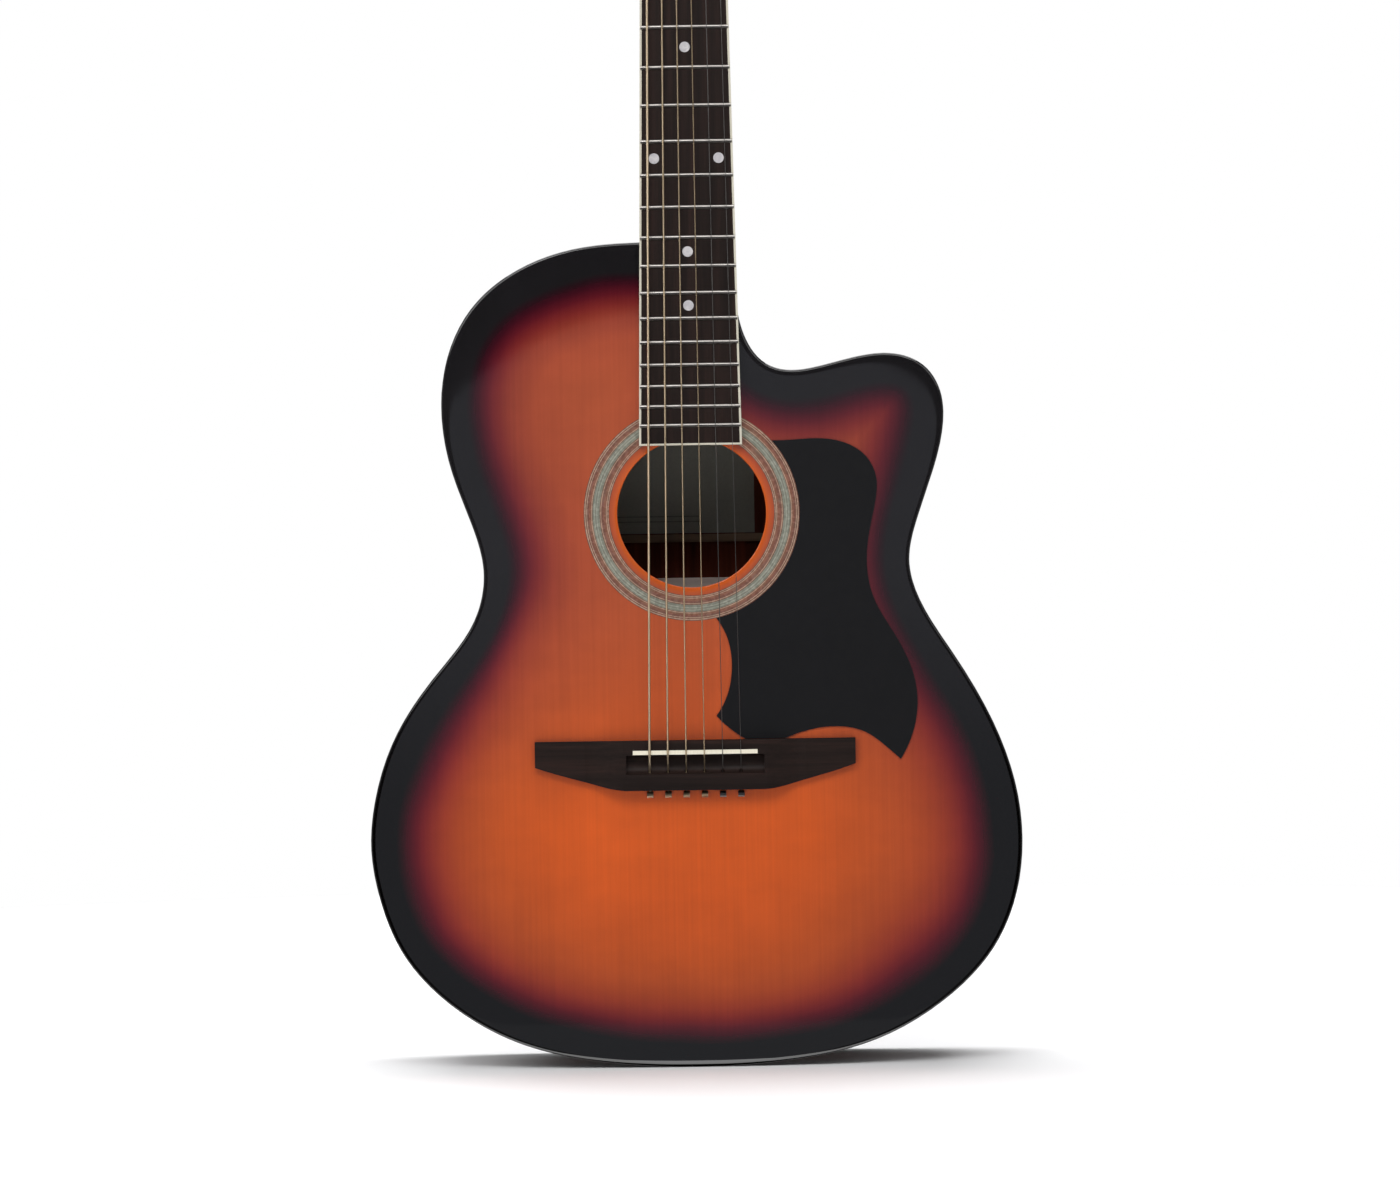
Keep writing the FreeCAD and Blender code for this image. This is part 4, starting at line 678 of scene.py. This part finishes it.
LABEL_LINES = 8.5 * MM          # from the label's lower edge to the middle between its two lines
LINES_APART = 3.0 * MM
LINE_CORE, LINE_EDGE = 0.15 * MM, 0.5 * MM
LINES_END = (4 * MM, 6 * MM)


def paper():
    """Plain label, its grey partly painted shade of the body's inside, with two faint ruled lines a little
    above its lower edge.
    """
    tree = Tree("label_paper")
    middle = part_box("label")[0].z + LABEL_LINES
    above = tree.math("ABSOLUTE", tree.math("SUBTRACT", tree.axis("Z"), middle))
    off_line = tree.math("ABSOLUTE", tree.math("SUBTRACT", above, LINES_APART / 2))
    rule = tree.span(off_line, LINE_CORE, LINE_EDGE, 1.0, 0.0)
    near = tree.span(tree.axis("X"), *LINES_END, 1.0, 0.0)
    fibres = tree.noise(900.0, 3.0)
    # The paper's grey is partly painted shade of the body's inside.
    base = tree.shade(srgb(138, 136, 126), fibres, 0.92, 1.04)
    colour = tree.blend(tree.math("MULTIPLY", tree.math("MULTIPLY", rule, near), 0.5), base, srgb(52, 49, 44))
    tree.surface(Base_Color=colour, Roughness=0.8, Normal=tree.bump(fibres, 0.15, 0.1 * MM))
    return tree.material


# ---------------------------------------------------------------- pieces and materials put together

BRONZE_LIGHT, BRONZE_DARK = (218, 198, 166), (138, 116, 88)
# String, pitch of its winding in millimetres, and how much paler it is than the bronze above.
WOUND_STRINGS = ((3, 0.17, 0), (4, 0.26, 4), (5, 0.36, 8), (6, 0.46, 24))


def dress():
    """Replace the two plates, give every other CAD node its material and add the neck's blend."""
    raw_top = raw_wood("raw_top", srgb(206, 168, 124), srgb(160, 118, 78), (240, 60, 9))
    top = rounded_plate("lacquered_top", "soundboard", FRONT, TOP_HIGH.y, True, sunburst(), raw_top)
    back_low, back_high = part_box("back_plate")
    # Mahogany darker than the blocks' raw mahogany: painted shade of the body's inside.
    raw_back_painted_shade = raw_wood("raw_back_painted_shade", srgb(104, 46, 28), srgb(62, 26, 16), (200, 60, 9), 0.75, 0.12)
    back = rounded_plate("lacquered_back", "back_plate", back_high.y, back_low.y, False,
                         back_lacquer(), raw_back_painted_shade)

    black = plastic("black_plastic", srgb(23, 23, 25), 0.42, specular=0.2)
    gloss_black = plastic("gloss_black", srgb(12, 12, 13), 0.2)
    ivory = plastic("ivory_plastic", srgb(232, 226, 206), 0.28)
    cream = plastic("cream_binding", srgb(208, 203, 186), 0.3)
    pearl = pearloid("pearl_dots", srgb(214, 210, 211), srgb(186, 184, 188))
    pearl_button = pearloid("pearl_button", srgb(226, 222, 208), srgb(182, 178, 164), 0.18, 70.0)
    chrome = metal("chrome_plate", srgb(208, 208, 212), 0.1)
    fret_metal = metal("fret_metal", srgb(188, 183, 178), 0.34, (40, 900, 900), 0.0)
    steel = metal("drawn_steel", srgb(128, 126, 124), 0.34, (900, 900, 30))
    spruce = raw_wood("raw_spruce", srgb(206, 168, 124), srgb(160, 118, 78), (240, 60, 14))
    # A darker, greyer copy of the spruce: painted shade for braces inside the body.
    cross_spruce_painted_shade = raw_wood("raw_spruce_across_painted_shade", srgb(150, 124, 100), srgb(112, 88, 68), (14, 60, 240))
    mahogany = raw_wood("raw_mahogany", srgb(132, 72, 46), srgb(84, 40, 26), (200, 200, 12))
    neck_wood = raw_wood("satin_neck", srgb(88, 46, 31), srgb(54, 26, 18), (420, 420, 9), 0.38)
    board = rosewood("rosewood_board", (210, 60, 7), (1500, 600, 45))
    cross_board = rosewood("rosewood_bridge", (7, 60, 210), (45, 600, 1500))
    by_name = {"side_bass": rim_lacquer(), "label": paper(), "rosette": shell(), "pickguard": black,
               "bridge": cross_board, "fretboard": board, "saddle": ivory, "nut": ivory,
               "fretboard_binding": cream, "position_markers": pearl, "frets": fret_metal, "neck": neck_wood,
               "truss_rod": steel, "truss_rod_nut": steel, "truss_rod_cover": gloss_black,
               "neck_block": mahogany, "tail_block": mahogany, "top_lining": spruce, "back_lining": spruce,
               "x_brace": spruce, "transverse_brace": cross_spruce_painted_shade, "small_top_braces": spruce,
               "bridge_plate": cross_spruce_painted_shade, "back_braces": back_bars()}
    by_name["side_treble"] = by_name["side_bass"]
    for number in (1, 2):
        by_name[f"string_{number}"] = steel
    for number, pitch, paler in WOUND_STRINGS:
        light, dark = (srgb(*(value + paler for value in bronze)) for bronze in (BRONZE_LIGHT, BRONZE_DARK))
        by_name[f"string_{number}"] = wound(f"bronze_{number}", light, dark, pitch * MM)
    for name, obj in NODES.items():
        if name in ("soundboard", "back_plate"):
            continue
        if name in by_name:
            material = by_name[name]
        elif name.endswith("_button"):
            material = pearl_button
        else:
            material = chrome
        paint(obj, material)
    neck_blend(neck_wood)


# ---------------------------------------------------------------- studio

VIEW_CENTRE = Vector((4.05 * MM, FRONT, 266.7 * MM))
CAMERA_DISTANCE = 2.5
FRAME_WIDTH = 0.7995            # metres across the picture at the soundboard
CAMERA_ROLL = 0.87              # degrees
SENSOR = 36.0                   # millimetres

FLOOR_RADIUS, FLOOR_SIDES = 1.5, 64
WALL_REACH, WALL_HEIGHT, WALL_COLUMNS = 8.0, 8.0, 40
WALL_OPENING = radians(50)      # half the gap towards the camera
# Name, place, target, width, height, power in watts.
SOFT_LIGHTS = (("key_left", (-1.25, -1.8, 1.75), (0, 0, 0.25), 1.6, 1.6, 28),
               ("key_right", (1.35, -1.8, 1.65), (0, 0, 0.25), 1.4, 1.4, 11),
               ("key_middle", (0, -1.9, 2.1), (0, 0, 0.1), 1.8, 1.0, 20),
               ("top", (0, -0.1, 2.4), (0, 0.2, 0), 2.6, 2.2, 16),
               ("back_fill", (-1.5, 2.0, 1.4), (0, 0, 0.3), 1.6, 1.6, 26),
               ("floor_wash", (0, 0.9, 3.0), (0, 1.0, 0), 3.4, 1.6, 90),
               ("front_oval", (0, -2.52, 0.0), (0, 0, 0.0), 1.0, 1.2, 1.1, (0.92, 0.96, 1.08), "ELLIPSE"))
# Low in front of the tail, for the pale line that only its gloss shows.
TAIL_LIGHTS = (("tail_glow", (0, -0.18, 0.001), (0, -0.18, 1), 0.8, 0.24, 0.05),
               ("tail_line", (0, -0.058, 0.001), (0, -0.058, 1), 0.6, 0.02, 0.15))


def make_camera():
    """Camera square to the soundboard, rolled as the photograph is."""
    data = bpy.data.cameras.new("camera")
    data.sensor_width = SENSOR
    data.lens = SENSOR * CAMERA_DISTANCE / FRAME_WIDTH
    camera = bpy.data.objects.new("camera", data)
    bpy.context.scene.collection.objects.link(camera)
    camera.location = VIEW_CENTRE - Vector((0, CAMERA_DISTANCE, 0))
    camera.rotation_mode = "XYZ"
    upright, roll = Euler((pi / 2, 0, 0)).to_matrix(), Euler((0, 0, -radians(CAMERA_ROLL))).to_matrix()
    camera.rotation_euler = (upright @ roll).to_euler()
    bpy.context.scene.camera = camera


def area_light(name, place, target, width, height, power, colour=(1, 1, 1), shape="RECTANGLE"):
    """Soft light that the camera doesn't see."""
    data = bpy.data.lights.new(name, "AREA")
    data.shape = shape
    data.size = width
    data.size_y = height
    data.energy = power
    data.color = colour
    light = bpy.data.objects.new(name, data)
    light.location = place
    light.rotation_euler = (Vector(target) - Vector(place)).to_track_quat("-Z", "Y").to_euler()
    light.visible_camera = False
    bpy.context.scene.collection.objects.link(light)
    return light


def stage_piece(name, points, faces, material):
    """Part of the studio, not attached to the guitar."""
    mesh = bpy.data.meshes.new(name)
    mesh.from_pydata(points, [], faces)
    piece = bpy.data.objects.new(name, mesh)
    bpy.context.scene.collection.objects.link(piece)
    paint(piece, material)
    return piece


def make_studio():
    """Round pale floor in a white space, pale walls that only gloss shows, and soft lights."""
    world = bpy.data.worlds.new("studio")
    world.use_nodes = True
    background = world.node_tree.nodes["Background"]
    background.inputs["Color"].default_value = (1, 1, 1, 1)
    background.inputs["Strength"].default_value = 1.0
    world.cycles_visibility.diffuse = False
    world.cycles_visibility.glossy = False
    bpy.context.scene.world = world

    angles = np.arange(FLOOR_SIDES) * 2 * pi / FLOOR_SIDES
    rim = [(FLOOR_RADIUS * cos(a), FLOOR_RADIUS * sin(a), 0.0) for a in angles]
    tree = Tree("pale_floor")
    tree.surface(Base_Color=srgb(246, 246, 247), Roughness=0.75, Specular_IOR_Level=0.2)
    floor = stage_piece("floor", rim, [list(range(FLOOR_SIDES))], tree.material)
    floor.visible_glossy = False

    angles = np.linspace(-pi / 2 + WALL_OPENING, 3 * pi / 2 - WALL_OPENING, WALL_COLUMNS)
    points = [(WALL_REACH * cos(a), WALL_REACH * sin(a), z)
              for z in (-WALL_HEIGHT, WALL_HEIGHT) for a in angles]
    faces = [[i, i + 1, WALL_COLUMNS + i + 1, WALL_COLUMNS + i] for i in range(WALL_COLUMNS - 1)]
    tree = Tree("pale_wall")
    tree.surface(Base_Color=srgb(200, 200, 202), Roughness=0.9, Emission_Color=(1, 1, 1, 1),
                 Emission_Strength=0.4)
    walls = stage_piece("walls", points, faces, tree.material)
    walls.visible_camera = False
    walls.visible_diffuse = False
    walls.visible_shadow = False

    for light in SOFT_LIGHTS:
        area_light(*light)
    for light in TAIL_LIGHTS:
        area_light(*light).visible_diffuse = False


dress()
make_camera()
make_studio()
bpy.context.scene.view_settings.view_transform = "Standard"
